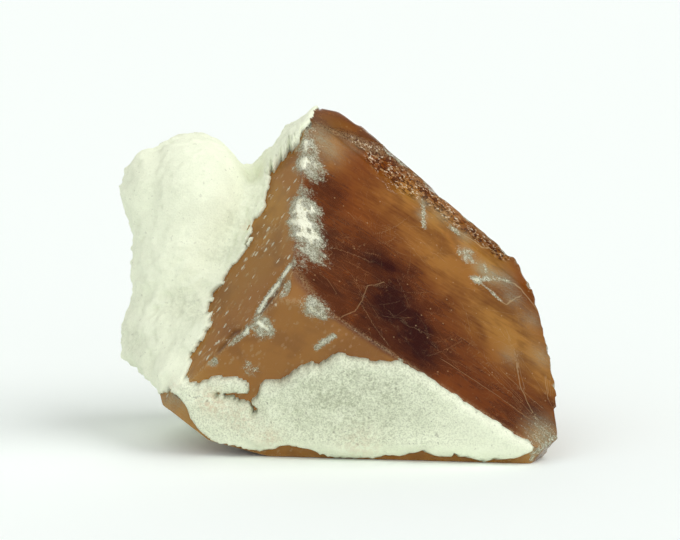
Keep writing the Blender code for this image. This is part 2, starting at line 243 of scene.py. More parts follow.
# Edge of the crust on the left end, as height and x, and the same on the back
LEFT_EDGE = metres((
    (7.7, -15.2), (8.9, -14.8), (10.1, -14.5), (11.1, -13.7), (12.1, -12.9), (13.3, -12.5),
    (13.8, -12.7), (14.5, -12.9), (15.7, -12.3), (16.9, -11.3), (18.2, -10.6), (18.9, -9.9),
    (20.1, -9.2), (21.0, -8.7), (22.4, -8.4), (23.9, -7.3), (25.3, -7.0), (27.2, -6.9),
    (28.5, -5.8), (30.0, -4.5), (31.4, -3.3), (33.3, -1.6),
))
BACK_EDGE = metres((
    (0.0, 3.0), (10.0, 1.5), (20.0, -3.0), (27.0, -4.2), (30.5, -3.0), (33.5, -1.8),
))
# Upper and lower edge of the crust on the lower front, as x and height
UPPER_EDGE = metres((
    (-15.25, 8.0), (-13.7, 7.8), (-12.4, 8.35), (-11.2, 8.55), (-9.7, 8.4), (-9.1, 8.05),
    (-8.8, 7.2), (-8.9, 6.3), (-8.4, 6.3), (-8.0, 7.1), (-7.7, 8.0), (-5.9, 8.4), (-4.5, 9.4),
    (-2.9, 10.3), (-2.1, 9.95), (-1.6, 10.4), (-0.4, 11.2), (0.3, 11.2), (0.96, 10.7), (2.4, 10.6),
    (5.6, 10.6), (6.4, 10.25), (7.6, 9.6), (8.2, 9.4), (9.8, 8.2), (12.4, 6.4), (16.5, 3.8),
    (18.2, 2.7), (19.0, 2.0), (19.4, 0.4),
))
LOWER_EDGE = metres((
    (-21.5, 8.6), (-19.0, 7.2), (-17.75, 5.8), (-17.2, 6.25), (-16.5, 6.55), (-16.1, 6.25),
    (-15.4, 5.4), (-15.1, 4.9), (-14.7, 3.6), (-13.9, 2.5), (-13.0, 1.7), (-12.0, 1.25),
    (-10.4, 1.05), (-8.5, 0.5), (-7.6, 0.5), (-6.8, 0.85), (-5.8, 1.25), (-4.3, 1.25), (-2.8, 0.9),
    (-1.3, 0.3), (0.0, 0.1), (3.4, 0.1), (4.1, 0.5), (6.5, 0.5), (7.5, 0.95), (8.4, 1.25),
    (8.6, 0.5), (12.7, 0.4), (14.2, 0.2), (17.1, 0.5), (19.0, 1.4),
))
# Thickness of the crust at its edge and away from it
LEFT_COAT = metres((0.3, 1.15))
FRONT_COAT = metres((0.45, 0.8))
# The same near the apex, how far the bare rock's form lies under the crystal, and the rim's width
APEX_COAT, BARE_DEPTH, RIM = metres((1.1, 0.8, 0.45))
# Lumps of the rock beyond the crystal: centre, half sizes, and how softly it joins the rest
LUMPS = [
    (metres(centre), metres(half), blend * MM)
    for centre, half, blend in (
        ((-14.8, 4.4, 24.2), (5.6, 5.8, 6.4), 1.2),
        ((-18.7, 4.5, 24.6), (3.2, 4.2, 4.6), 0.4),
        ((-10.8, 5.8, 23.8), (3.6, 4.0, 2.6), 1.4),
        ((-15.4, 4.0, 17.2), (5.6, 6.0, 7.0), 2.2),
        ((-17.0, 3.2, 10.2), (4.6, 5.8, 4.8), 2.2),
        ((-12.6, 8.5, 19.0), (6.0, 4.6, 7.5), 2.2),
        ((-12.0, 7.5, 8.5), (7.0, 6.5, 7.2), 2.2),
    )
]
ROCK_HEART = metres((-4.0, 6.0, 15.5))
BULB_MIDDLE = metres((-16.0, -0.5, 24.5))
ROCK_RUN = np.array([0.86, 0.20, 0.47])  # which way the rock's folds run
ROCK_REACH = metres((2.0, 34.0))  # nearest and farthest that the rock's surface can be from its heart
# Cracks in the front crust down to the crystal: the path as x and height, and half width
OPENINGS = [
    (metres(path), half * MM)
    for path, half in (
        (((-8.7, 6.3), (-9.6, 6.4), (-10.6, 6.4), (-12.0, 6.6)), 0.2),
        (((-8.7, 6.3), (-9.1, 6.0), (-8.3, 5.0)), 0.14),
    )
]
# Long hollows and swellings of the rock's skin: the path, half width, height
FOLDS = [
    (metres(path), half * MM, rise * MM)
    for path, half, rise in (
        (((-10.4, -0.9, 22.7), (-11.2, -0.6, 20.8), (-12.7, -1.8, 18.6)), 1.2, -0.4),
        (((-13.7, -2.1, 16.0), (-15.1, -2.6, 15.0), (-17.0, -2.2, 14.6), (-18.9, -2.0, 14.0)),
         0.9, -0.42),
        (((-14.2, -3.7, 13.5), (-15.2, -4.3, 12.4), (-16.3, -4.4, 11.2), (-18.9, -3.2, 8.7)),
         0.8, -0.4),
        (((-14.5, -2.9, 14.8), (-16.0, -3.3, 13.2), (-18.2, -3.0, 11.2)), 0.7, 0.25),
        (((-7.8, -1.0, 24.7), (-8.9, -3.1, 21.5), (-9.9, -4.5, 19.1), (-11.6, -5.1, 16.4),
          (-13.3, -5.2, 14.2), (-13.8, -6.9, 12.2)), 0.9, 0.22),
        (((-9.0, 1.5, 27.6), (-9.2, 4.0, 27.2), (-9.5, 7.0, 26.2)), 1.3, -0.9),
        (((-9.4, -0.2, 22.3), (-9.6, -0.4, 21.8)), 0.4, -0.4),
        (((-12.0, -8.6, 3.0), (-3.9, -8.8, 1.6), (7.8, -10.3, 1.8)), 1.2, 0.18),
    )
]
# Places where the rock is greyer: painted shade in the fold hollows, the valley beside the bulb and the
# middle of the down-facing front crust, and some grey mottle; place and radius, how grey
GREY_AND_SHADE_PLACES = spots(
    (-2.0, -10.4, 7.4, 4.5, 0.7), (4.5, -10.6, 6.8, 4.8, 0.8), (-3.9, -9.4, 5.0, 3.5, 0.45),
    (-11.0, -8.5, 5.5, 2.2, 0.35), (-8.5, 1.6, 25.0, 1.8, 0.55), (-10.0, 0.2, 22.6, 1.9, 0.6),
    (-11.7, -1.3, 19.7, 2.2, 0.55), (-15.0, -2.6, 15.0, 1.8, 0.55), (-17.5, -2.2, 14.3, 1.6, 0.4),
    (-16.3, -4.4, 11.2, 1.6, 0.45), (-14.2, -3.7, 13.5, 1.2, 0.3), (-20.7, -0.9, 10.0, 1.8, 0.45),
    (-18.7, 0.5, 25.9, 1.1, 0.28), (-16.0, -1.0, 25.7, 1.4, 0.28), (-13.1, -0.7, 26.7, 1.0, 0.22),
)
# Places where the rock is stained pinkish brown: place and radius, how strong
STAIN_PLACES = spots(
    (-12.6, -8.8, 5.8, 1.4, 0.55), (-17.2, -8.0, 7.4, 1.0, 0.45), (-9.8, -9.2, 4.0, 1.6, 0.35),
    (-7.0, -9.0, 2.0, 1.2, 0.4), (2.0, -9.5, 1.5, 2.0, 0.25), (-8.8, 4.0, 27.0, 0.7, 0.5),
    (-9.5, -0.3, 22.1, 0.5, 0.85),
)
# How deep the rock's seat is let into the crystal, so that no air shows between them
BOND = 0.04 * MM

# How far a face's relief and its colours reach round its edges, and the width of a ledge's step and of a
# worn edge with its painted sheen
MARK_REACH, FACE_REACH, STEP_WIDTH, EDGE_WEAR_AND_SHEEN = metres((0.12, 0.30, 0.12, 0.22))
CREST = 0.25 * MM  # how softly the crystal's edges carry through the rock's coat
NEVER = 2.0  # stands for a ray that meets no dish
CRUSHED_FROM = 0.62  # a facet whose corners are all whiter than this is opaque

NORMALS = np.array(
    [
        (np.cos(lift) * np.cos(turn), np.cos(lift) * np.sin(turn), np.sin(lift))
        for turn, lift in np.radians([face[:2] for face in FACES.values()])
    ]
)
DISTANCES = metres([face[2] for face in FACES.values()])
ROW = {name: row for row, name in enumerate(FACES)}

COLOUR = {"subtype": "COLOR", "size": 4, "min": 0.0, "max": 1.0}
SHARE = {"subtype": "FACTOR", "min": 0.0, "max": 1.0}


class TopazCrystalSettings(bpy.types.PropertyGroup):
    """The crystal's colours and finish."""

    light_brown: FloatVectorProperty(
        name="Light brown", description="Body colour where the crystal is thin",
        default=(0.285, 0.067, 0.003, 1.0), **COLOUR,
    )
    # Dark brown is painted shade in the dark pools and on the pitted zone's sunk facets; it also colours the
    # dark scores
    dark_brown: FloatVectorProperty(
        name="Dark brown", description="Body colour where the crystal is deepest",
        default=(0.045, 0.004, 0.0004, 1.0), **COLOUR,
    )
    # Tan is painted light in the pale pools, and the paler colour of the faces other than the right front
    tan: FloatVectorProperty(
        name="Tan", description="Body colour in the palest places",
        default=(0.60, 0.29, 0.050, 1.0), **COLOUR,
    )
    # Also the colour of painted glints: the flecks, the pitted zone's flashes, and the painted sheen on worn
    # edges
    scratch_and_glint_tan: FloatVectorProperty(
        name="Scratch tan", description="Colour of fine scratches, flecks and worn edges",
        default=(0.74, 0.53, 0.26, 1.0), **COLOUR,
    )
    haze: FloatVectorProperty(
        name="Haze", description="Colour of the places hazy with fine cracks",
        default=(0.50, 0.515, 0.355, 1.0), **COLOUR,
    )
    # Also the colour of the painted white glints in the pitted zone and on the left end
    bruise_and_glint_white: FloatVectorProperty(
        name="Bruise white", description="Colour of crushed and chipped places",
        default=(0.84, 0.85, 0.68, 1.0), **COLOUR,
    )
    absorbed: FloatVectorProperty(
        name="Tint through the body", description="Colour that light takes on inside the crystal",
        default=(0.66, 0.36, 0.10, 1.0), **COLOUR,
    )
    density: FloatProperty(
        name="Tint density", description="How strongly the body tints light, for each metre of it",
        min=0.0, max=2000.0, default=200.0,
    )
    clearness: FloatProperty(
        name="Clearness", description="Share of the light that goes into the crystal", default=0.44, **SHARE,
    )
    sheen_level: FloatProperty(
        name="Reflection level", description="Strength of the mirror sheen, 0.5 as in clean glass",
        default=0.07, **SHARE,
    )
    bending: FloatProperty(
        name="Index of refraction", description="How strongly the crystal bends light",
        min=1.0, max=3.0, default=1.62,
    )
    edge_round: FloatProperty(
        name="Edge rounding", description="How softly two faces meet",
        unit="LENGTH", min=0.0, default=0.05 * MM,
    )
    spacing: FloatProperty(
        name="Point spacing", description="Distance between points on the front faces",
        unit="LENGTH", min=0.1 * MM, default=0.236 * MM,
    )


class RhyoliteSettings(bpy.types.PropertyGroup):
    """The matrix's colours and relief."""

    cream: FloatVectorProperty(
        name="Cream", description="Colour of the powdery rock",
        default=(0.93, 0.975, 0.765, 1.0), **COLOUR,
    )
    # Also the colour of the painted shade in the rock's hollows and on its front crust
    grey: FloatVectorProperty(
        name="Grey", description="Colour of the grains and mottles",
        default=(0.43, 0.46, 0.32, 1.0), **COLOUR,
    )
    speck: FloatVectorProperty(
        name="Speck", description="Colour of the dark specks",
        default=(0.22, 0.21, 0.15, 1.0), **COLOUR,
    )
    stain: FloatVectorProperty(
        name="Stain", description="Colour of the pinkish brown stains",
        default=(0.66, 0.45, 0.28, 1.0), **COLOUR,
    )
    lump_height: FloatProperty(
        name="Lump height", description="Height of the lumps on the thick rock",
        unit="LENGTH", min=0.0, default=0.58 * MM,
    )
    grain_size: FloatProperty(
        name="Grain size", description="Size of the rock's grains",
        unit="LENGTH", min=0.1 * MM, default=0.42 * MM,
    )
    columns: FloatProperty(
        name="Columns", description="Points round the heart of the rock", min=60.0, default=446.0,
    )


class StageSettings(bpy.types.PropertyGroup):
    """Floor, light and camera."""

    floor_colour: FloatVectorProperty(
        name="Floor", description="Colour of the floor", default=(0.935, 0.985, 0.955, 1.0), **COLOUR,
    )
    sky_strength: FloatProperty(
        name="Room light", description="Strength of the light from all round", min=0.0, default=1.25,
    )
    key_power: FloatProperty(
        name="Key light", description="Strength of the soft light from the upper right",
        min=0.0, default=1.90,
    )
    key_softness: FloatProperty(
        name="Key softness", description="How wide the key light is seen from the object",
        subtype="ANGLE", min=0.0, default=np.radians(50.0),
    )
    camera_height: FloatProperty(
        name="Camera angle", description="Angle of the view above the level",
        subtype="ANGLE", default=np.radians(10.0),
    )
    camera_distance: FloatProperty(
        name="Camera distance", description="From the camera to the point aimed at",
        unit="LENGTH", default=0.380,
    )
    aim_height: FloatProperty(
        name="Aim height", description="Height of the point aimed at",
        unit="LENGTH", default=17.483 * MM,
    )
    lens: FloatProperty(
        name="Lens", description="Focal length on a 36 mm wide sensor",
        subtype="DISTANCE_CAMERA", default=201.18,
    )


def eased(x):
    """0 to 1 with level ends: 3x^2 - 2x^3 of x held between 0 and 1."""
    x = np.clip(x, 0.0, 1.0)
    return x * x * (3.0 - 2.0 * x)


def bell(x):
    """1 at nothing and falling off to both sides: exp(-x^2)."""
    return np.exp(-(x**2))


def along(x, path):
    """The value at x on the broken line through a path of x and value."""
    return np.interp(x, *path.T)


def lattice_noise(points, cell, seed, side=32):
    """Random values from -1 to 1 on a cubic lattice of this cell, eased between its points."""
    values = np.random.default_rng(seed).random((side, side, side)) * 2.0 - 1.0
    place = points / cell
    low = np.floor(place).astype(int)
    part = eased(place - low)
    total = np.zeros(points.shape[:-1])
    for corner in np.ndindex(2, 2, 2):
        at = (low + corner) % side
        weight = np.where(np.array(corner) == 1, part, 1.0 - part).prod(axis=-1)
        total += weight * values[at[..., 0], at[..., 1], at[..., 2]]
    return total


def grain_noise(points, cell, seed, side=32):
    """Distance to the nearest of the random grains, one in each cell of a lattice, in cells."""
    grains = np.random.default_rng(seed).random((side, side, side, 3))
    place = points / cell
    low = np.floor(place).astype(int)
    nearest = np.full(points.shape[:-1], 4.0)
    for corner in np.ndindex(3, 3, 3):
        at = low + np.array(corner) - 1
        inside = at % side
        grain = at + grains[inside[..., 0], inside[..., 1], inside[..., 2]]
        nearest = np.minimum(nearest, ((place - grain) ** 2).sum(axis=-1))
    return np.sqrt(nearest)


def path_offsets(points, path):
    """For each straight part of a path, its run, and each point's offset from the nearest place on it."""
    for start, stop in zip(path[:-1], path[1:]):
        run = stop - start
        share = np.clip((points - start) @ run / (run @ run), 0.0, 1.0)
        yield run, points - start - share[..., None] * run


def to_path(points, path):
    """Distance from each point to the path."""
    away = [np.linalg.norm(offset, axis=-1) for _, offset in path_offsets(points, path)]
    return np.minimum.reduce(away)


def signed_to_path(points, path, outward):
    """Distance to the path, below 0 on its right as seen from outside."""
    nearest = np.full(len(points), 1.0)
    for run, offset in path_offsets(points, path):
        away = np.linalg.norm(offset, axis=1) * np.sign(offset @ np.cross(outward, run))
        nearest = np.where(np.abs(away) < np.abs(nearest), away, nearest)
    return nearest


def pooled(points, pools):
    """Soft pools added up: strength * exp(-(distance / radius)^2)."""
    total = np.zeros(points.shape[:-1])
    for place, radius, strength in pools:
        total = total + strength * bell(np.linalg.norm(points - place, axis=-1) / radius)
    return total


def softest(distances, blend):
    """The greatest distance of each row, softened where two are alike.

    greatest + blend * log(sum(exp((distance - greatest) / blend)))
    """
    greatest = distances.max(axis=-1, keepdims=True)
    return greatest[..., 0] + blend * np.log(np.exp((distances - greatest) / blend).sum(axis=-1))


def halved(low, high, outside, times):
    """The brackets from low to high halved this many times about where outside turns true."""
    for _ in range(times):
        middle = (low + high) / 2.0
        out = outside(middle)
        high = np.where(out, middle, high)
        low = np.where(out, low, middle)
    return (low + high) / 2.0


def mesh_piece(name, points, faces, attributes):
    """A mesh object from points about the datum, arrays of equal-sided faces, and attributes by name."""
    mesh = bpy.data.meshes.new(name)
    mesh.vertices.add(len(points))
    mesh.vertices.foreach_set("co", (points + SHIFT).astype(np.float32).ravel())
    sides = np.concatenate([np.full(len(group), group.shape[1]) for group in faces])
    numbers = np.concatenate([group.ravel() for group in faces])
    mesh.loops.add(int(sides.sum()))
    mesh.loops.foreach_set("vertex_index", numbers.astype(np.int32))
    mesh.polygons.add(len(sides))
    mesh.polygons.foreach_set("loop_start", (np.cumsum(sides) - sides).astype(np.int32))
    mesh.update(calc_edges=True)
    for label, values in attributes.items():
        mesh.attributes.new(label, "FLOAT", "POINT").data.foreach_set("value", values.astype(np.float32))
    mesh.shade_smooth()
    piece = bpy.data.objects.new(name, mesh)
    bpy.context.scene.collection.objects.link(piece)
    return piece


def welded(points, groups):
    """The points with doubles merged, and the faces renumbered, without those that shrink away."""
    _, first, number = np.unique(np.round(points, 8), axis=0, return_index=True, return_inverse=True)
    number = number.ravel()
    kept = []
    for group in groups:
        group = number[group]
        ordered = np.sort(group, axis=1)
        kept.append(group[(ordered[:, 1:] != ordered[:, :-1]).all(axis=1)])
    return points[first], kept


def crystal_corners():
    """Points where three faces meet and that no other face cuts off."""
    trios = np.array(list(itertools.combinations(range(len(NORMALS)), 3)))
    sound = np.abs(np.linalg.det(NORMALS[trios])) > 1e-3
    trios = trios[sound]
    corners = np.linalg.solve(NORMALS[trios], DISTANCES[trios][..., None])[..., 0]
    return corners[(corners @ NORMALS.T <= DISTANCES + 1e-9).all(axis=1)]


def face_outline(row, corners, spacing):
    """The border of one face as points in order about its normal, the same ones that its neighbours get."""
    mine = corners[np.abs(corners @ NORMALS[row] - DISTANCES[row]) < 1e-9]
    middle = mine.mean(axis=0)
    right = mine[0] - middle
    right /= np.linalg.norm(right)
    up = np.cross(NORMALS[row], right)
    mine = mine[np.argsort(np.arctan2((mine - middle) @ up, (mine - middle) @ right))]
    sides = []
    for start, stop in zip(mine, np.roll(mine, -1, axis=0)):
        low, high = sorted((tuple(start), tuple(stop)))
        # Wider steps towards the back
        step = spacing * np.interp((start[1] + stop[1]) / 2.0, (-0.010, 0.014), (0.9, 1.9))
        count = max(1, int(round(np.linalg.norm(stop - start) / step)))
        share = np.linspace(0.0, 1.0, count + 1)[:, None]
        line = np.array(low) * (1.0 - share) + np.array(high) * share
        sides.append((line if low == tuple(start) else line[::-1])[:-1])
    return np.concatenate(sides)


def face_patch(row, corners, spacing):
    """One face as rings: centre + share * (border - centre), with rings close together at the border."""
    border = face_outline(row, corners, spacing)
    centre = border.mean(axis=0)
    span = np.linalg.norm(border - centre, axis=1).mean()
    step = spacing * (1.0 if NORMALS[row, 1] < -0.2 else 2.1)
    close = metres([0.0, 0.04, 0.09, 0.16, 0.26])
    offsets = np.concatenate([close, np.arange(close[-1] + step, span, step)])
    shares = np.append(1.0 - offsets / span, 0.0)
    points = centre + shares[:, None, None] * (border - centre)
    rings, count = points.shape[:2]
    at = np.arange(rings * count).reshape(rings, count)
    after = np.roll(at, -1, axis=1)
    quads = np.stack([at[:-2], after[:-2], after[1:-1], at[1:-1]], axis=-1).reshape(-1, 4)
    fan = np.stack([at[-2], after[-2], at[-1]], axis=-1)
    return points.reshape(-1, 3), quads, fan


def crystal_level(points, blend):
    """How far a point is outside the crystal: the softened greatest of its distances to the faces.

    A ledge lowers its face by its depth over its width, and a swell raises all faces near it.
    """
    distance = points @ NORMALS.T - DISTANCES - pooled(points, SWELLS)[:, None]
    for face, step, way, depth in LEDGES:
        outward = NORMALS[ROW[face]]
        step = step + outward * (DISTANCES[ROW[face]] - outward @ step)
        run = way - outward * (outward @ way)
        across = (points - step) @ np.cross(outward, run / np.linalg.norm(run))
        taken = eased(across / STEP_WIDTH) * eased((LEDGE_WIDTH - across) / STEP_WIDTH)
        distance[:, ROW[face]] += depth * taken
    return softest(distance, blend)


def pushed_in(points, depth, blend):
    """Share of the way from the crystal's heart at which each point meets the surface, less its depth."""
    arms = points - CRYSTAL_HEART

    def outside(share):
        return crystal_level(CRYSTAL_HEART + arms * share[:, None], blend) + depth > 0.0

    return halved(np.full(len(points), 0.7), np.full(len(points), 1.03), outside, 14)


def dishes(corners):
    """Balls that take a dish out of an edge, as centre and radius: the chips, then rows of random nicks.

    A ball's centre stands out from the edge, which a swell may raise, by its radius less the depth.
    """
    found = []
    for faces, near, radius, depth in CHIPS:
        rows = [ROW[name] for name in faces]
        outward = NORMALS[rows].sum(axis=0)
        outward /= np.linalg.norm(outward)
        point = near + np.linalg.pinv(NORMALS[rows]) @ (DISTANCES[rows] - NORMALS[rows] @ near)
        found.append((point + outward * (pooled(point, SWELLS) + radius - depth), radius))
    random = np.random.default_rng(11)
    for faces, count, smallest, largest, share in NICK_ROWS:
        rows = [ROW[name] for name in faces]
        outward = NORMALS[rows].sum(axis=0)
        outward /= np.linalg.norm(outward)
        on_edge = (np.abs(corners @ NORMALS[rows].T - DISTANCES[rows]) < 1e-8).all(axis=1)
        start, stop = corners[on_edge][[0, -1]]
        places = random.random(count)
        sizes = smallest + (largest - smallest) * random.random(count) ** 2
        depths = sizes * share * (0.3 + 0.7 * random.random(count))
        leans = random.normal(0.0, 0.35, (count, 3))
        for place, size, depth, lean in zip(places, sizes, depths, leans):
            way = outward + lean
            way /= np.linalg.norm(way)
            point = start + (stop - start) * place
            found.append((point + outward * pooled(point, SWELLS) + way * (size - depth), size))
    return found


def dish_share(points, balls):
    """Share of the way from the heart at which each point's ray meets a ball, NEVER where it meets none.

    The nearer root of |heart + arm * share - centre| = radius.
    """
    arms = points - CRYSTAL_HEART
    square = (arms**2).sum(axis=1)
    share = np.full(len(points), NEVER)
    for centre, radius in balls:
        offset = CRYSTAL_HEART - centre
        half = arms @ offset
        spread = half**2 - square * (offset @ offset - radius**2)
        root = (-half - np.sqrt(np.maximum(spread, 0.0))) / square
        share = np.where((spread > 0.0) & (root > 0.7), np.minimum(share, root), share)
    return share


def hidden_share(gap):
    """1 on the faces that the photograph doesn't show, from the room under every face plane."""
    return 1.0 - bell(gap[:, [ROW[name] for name in SEEN_FACES]].min(axis=1) / FACE_REACH)


def hidden_relief(points, gap):
    """Depth of the growth terraces and swells on the faces that aren't seen, where they are bare."""
    bare = eased(-np.maximum(*crust_cover(points)) / 0.0012)
    level = 4.0 * lattice_noise(points, 0.0058, 47)
    terrace = np.floor(level) + eased((level - np.floor(level)) * 4.0)
    rolling = 0.00004 * lattice_noise(points, 0.0030, 46) + 0.00002 * lattice_noise(points, 0.0013, 48)
    return hidden_share(gap) * bare * (0.00007 * terrace + rolling)


def crystal_marks(points, gap):
    """Depth of the crystal's relief, bruises, scores, pits and pocks, and how much of each mark shows.

    A bruise is a bell about its place, torn by noise; a score is a bell about its path.
    """
    row = ROW["right front"]
    on_face = bell(gap / MARK_REACH)
    depth = hidden_relief(points, gap)
    depth += 0.000010 * lattice_noise(points, 0.0026, 21) + 0.000005 * lattice_noise(points, 0.0011, 22)
    white = np.zeros(len(points))
    dark = np.zeros(len(points))
    crumble = 0.5 + 0.5 * lattice_noise(points, 0.00042, 23)
    drawn = points - 0.8 * (points @ STREAK_RUN)[:, None] * STREAK_RUN
    feather = lattice_noise(drawn, 0.0005, 24) + lattice_noise(drawn, 0.00028, 30)
    crumbs = lattice_noise(points, 0.0006, 40) + 1.4 * lattice_noise(points, 0.00035, 41)
    for place, radius, pale, rough in BRUISES:
        arm = points - place
        streaky = DISTANCES[row] - place @ NORMALS[row] < 0.8 * MM
        arm = arm - 0.30 * streaky * (arm @ STREAK_RUN)[:, None] * STREAK_RUN
        away = np.linalg.norm(arm, axis=1) / radius
        torn = 0.55 * feather + 0.5 * crumbs if streaky else crumbs
        spot = np.clip(np.exp(-(away**2) * 0.8 + 0.5 * torn) * (away < 2.4), 0.0, 1.0)
        white = np.maximum(white, pale * spot)
        depth += rough * spot * 0.00011 * crumble
    wander = 0.00012 * lattice_noise(points, 0.0007, 25)
    for face, path, width, score, pale in STROKES:
        line = bell((to_path(points, path) + wander) / width) * on_face[:, ROW[face]]
        depth += score * line
        white = np.maximum(white, pale * line)
        dark = np.maximum(dark, -pale * line)
    # The pitted zone under the upper right edge of the right front face
    away = to_path(points, PITTED_PATH) / along(points[:, 0], PITTED_HALF)
    pitted = on_face[:, row] * eased(1.45 - away + 0.55 * lattice_noise(points, 0.0012, 29))
    pits = eased(1.15 - 1.5 * grain_noise(points, 0.00060, 26))
    depth += pitted * (0.00017 * pits + 0.00008 * crumble)
    # Short pits in rows on the left end; their mask also places their painted glints
    outward = NORMALS[ROW["left end"]]
    ways = (FLECK_RUN / 2.2, np.cross(outward, FLECK_RUN), outward)
    stretched = np.column_stack([points @ way for way in ways])
    bands = eased(0.5 + 1.6 * lattice_noise(stretched, 0.0021, 28))
    pocks = eased((0.33 - grain_noise(stretched, 0.00052, 27)) * 7.0)
    pocks = on_face[:, ROW["left end"]] * pocks * bands
    depth += 0.00006 * pocks
    return depth, {"white": white, "dark": dark, "pitted": pitted, "pock_glint": pocks}


def random_scratches():
    """Scratches on the right front face: a fan at its foot, hatching by the left ridge, and loose hairs.

    Each starts at a random place and bends aside by its bow times the square of the way along.
    """
    random = np.random.default_rng(51)
    outward = NORMALS[ROW["right front"]]
    across = np.cross(outward, STREAK_RUN)
    found = []

    def add_line(start, way, side, length, bow, share, half, white):
        share = share[:, None]
        found.append((start + length * (share * way + bow * share**2 * side), half * MM, white))

    for _ in range(44):
        start = FAN_CENTRE + random.normal(0.0, 0.0011, 3)
        turn = np.pi - random.uniform(0.05, 1.15)
        length = random.uniform(0.003, 0.012)
        bow = random.normal(0.0, 0.06)
        share = np.linspace(random.uniform(0.0, 0.3), 1.0, 5)
        way = np.cos(turn) * STREAK_RUN + np.sin(turn) * across
        white = random.uniform(0.3, 0.9)
        add_line(start, way, np.cross(outward, way), length, bow, share, 0.03, white)
    for _ in range(44):
        start = HATCHING + across * random.uniform(-0.006, 0.005)
        start = start + STREAK_RUN * random.uniform(0.0, 0.0022)
        length = random.uniform(0.0010, 0.0042)
        way = STREAK_RUN + across * random.normal(0.0, 0.14)
        bow = random.normal(0.0, 0.10)
        white = random.uniform(0.3, 0.8)
        add_line(start, way, across, length, bow, np.linspace(0.0, 1.0, 4), 0.04, white)
    for _ in range(90):
        start = HAIRS + STREAK_RUN * random.uniform(-0.011, 0.012)
        start = start + across * random.uniform(-0.006, 0.007)
        turn = random.normal(0.2, 0.55)
        way = np.cos(turn) * STREAK_RUN + np.sin(turn) * across
        bow = random.normal(0.0, 0.25)
        length = random.uniform(0.0008, 0.0050)
        white = random.uniform(0.15, 0.6)
        add_line(start, way, np.cross(outward, way), length, bow, np.linspace(0.0, 1.0, 6), 0.03, white)
    return found


def scratch_marks(points):
    """Signed distance to the nearest fine line in half widths of it, and how white that line is."""
    row = ROW["right front"]
    outward = NORMALS[row]
    chosen = np.abs(points @ outward - DISTANCES[row]) < 0.05 * MM
    mine = points[chosen]
    side = np.full(len(points), 9.0)
    white = np.zeros(len(points))
    best_side, best = side[chosen], white[chosen]
    wander = 0.00016 * lattice_noise(mine, 0.0009, 50) + 0.00008 * lattice_noise(mine, 0.0004, 52)
    for path, half, strength in (*LINES, *random_scratches()):
        away = signed_to_path(mine, path, outward) + wander * (1.0 if half > 0.04 * MM else 0.3)
        near = strength * bell(away / 0.00032)
        better = near > best
        best = np.where(better, near, best)
        best_side = np.where(better, away / half, best_side)
    side[chosen] = best_side
    white[chosen] = best
    return np.clip(side, -9.0, 9.0), white


def crystal_surface(settings):
    """The crystal's points, faces and attributes: rings on the faces, pushed in by relief and dishes."""
    corners = crystal_corners()
    points, quads, fans, start = [], [], [], 0
    for row in range(len(NORMALS)):
        patch, patch_quads, patch_fan = face_patch(row, corners, settings.spacing * detail())
        points.append(patch)
        quads.append(patch_quads + start)
        fans.append(patch_fan + start)
        start += len(patch)
    points, faces = welded(np.concatenate(points), [np.concatenate(quads), np.concatenate(fans)])
    gap = DISTANCES - points @ NORMALS.T
    depth, marks = crystal_marks(points, gap)
    surface = pushed_in(points, depth, settings.edge_round)
    broken = dish_share(points, dishes(corners))
    chipped = eased((surface - broken) * np.linalg.norm(points - CRYSTAL_HEART, axis=1) / 0.00005)
    placed = CRYSTAL_HEART + (points - CRYSTAL_HEART) * np.minimum(surface, broken)[:, None]
    placed[:, 2] = np.maximum(placed[:, 2], 0.0)
    on_face = bell(gap / FACE_REACH)
    on_right_front = on_face[:, ROW["right front"]]
    on_top = on_face[:, ROW["top"]]
    hidden = hidden_share(gap)
    clouds = hidden * eased(0.45 + 1.3 * lattice_noise(points, 0.0052, 45))
    wisps = hidden * eased(1.5 * lattice_noise(points, 0.0034, 44) - 0.15)
    # Painted shade: the dark pools on the right front face; a darker top and random clouds on the hidden
    # faces too. Painted light: the pale pools; the faces other than the right front are paler.
    shade_and_tone = on_right_front * (0.14 + pooled(points, PAINTED_SHADE_POOLS)) + 0.40 * on_top + 0.42 * clouds
    pale = pooled(points, PAINTED_LIGHT_POOLS) + (0.58 - 0.40 * on_top) * (1.0 - on_right_front)
    line_side, line_white = scratch_marks(points)
    marks |= {
        "white": np.maximum(marks["white"], 0.45 * chipped),
        # Worn edges, also a painted sheen along the ridges
        "edge": bell(np.sort(gap, axis=1)[:, 1] / EDGE_WEAR_AND_SHEEN),
        "shade_and_tone": np.clip(shade_and_tone, 0.0, 1.0),
        "pale": np.clip(pale, 0.0, 1.0),
        "haze": np.clip(pooled(points, HAZES) + 0.34 * wisps, 0.0, 1.0),
        "right_front": on_right_front,
        "left_end": on_face[:, ROW["left end"]],
        "line_side": line_side,
        "line_white": line_white,
    }
    return placed, faces, marks


def crystal_depth(points):
    """Distance outside the crystal, with its edges a little rounded."""
    return softest(points @ NORMALS.T - DISTANCES, CREST)


def crust_cover(points):
    """How far inside the edge of the crust a point is: on the sides, then on the front."""
    x, y, z = points[..., 0], points[..., 1], points[..., 2]
    behind = eased((y - 0.0035) / 0.005)
    edge = (1.0 - behind) * along(z, LEFT_EDGE) + behind * along(z, BACK_EDGE)
    above_toe = z - along(x, LOWER_EDGE)
    side = np.minimum(edge - x, np.maximum(above_toe, y + 0.0045))
    row = ROW["lower front"]
    on_front = 0.0012 + points @ NORMALS[row] - DISTANCES[row]
    front = np.minimum(np.minimum(along(x, UPPER_EDGE) - z, above_toe), on_front)
    return side, front


def open_cracks(points):
    """How far a point is outside the cracks in the crust, seen from the front."""
    return np.minimum.reduce([to_path(points[..., ::2], path) - half for path, half in OPENINGS])


def joined(first, second, blend):
    """The lesser of two distances, rounded where they meet."""
    near = np.maximum(blend - np.abs(first - second), 0.0) / blend
    return np.minimum(first, second) - near * near * blend * 0.25


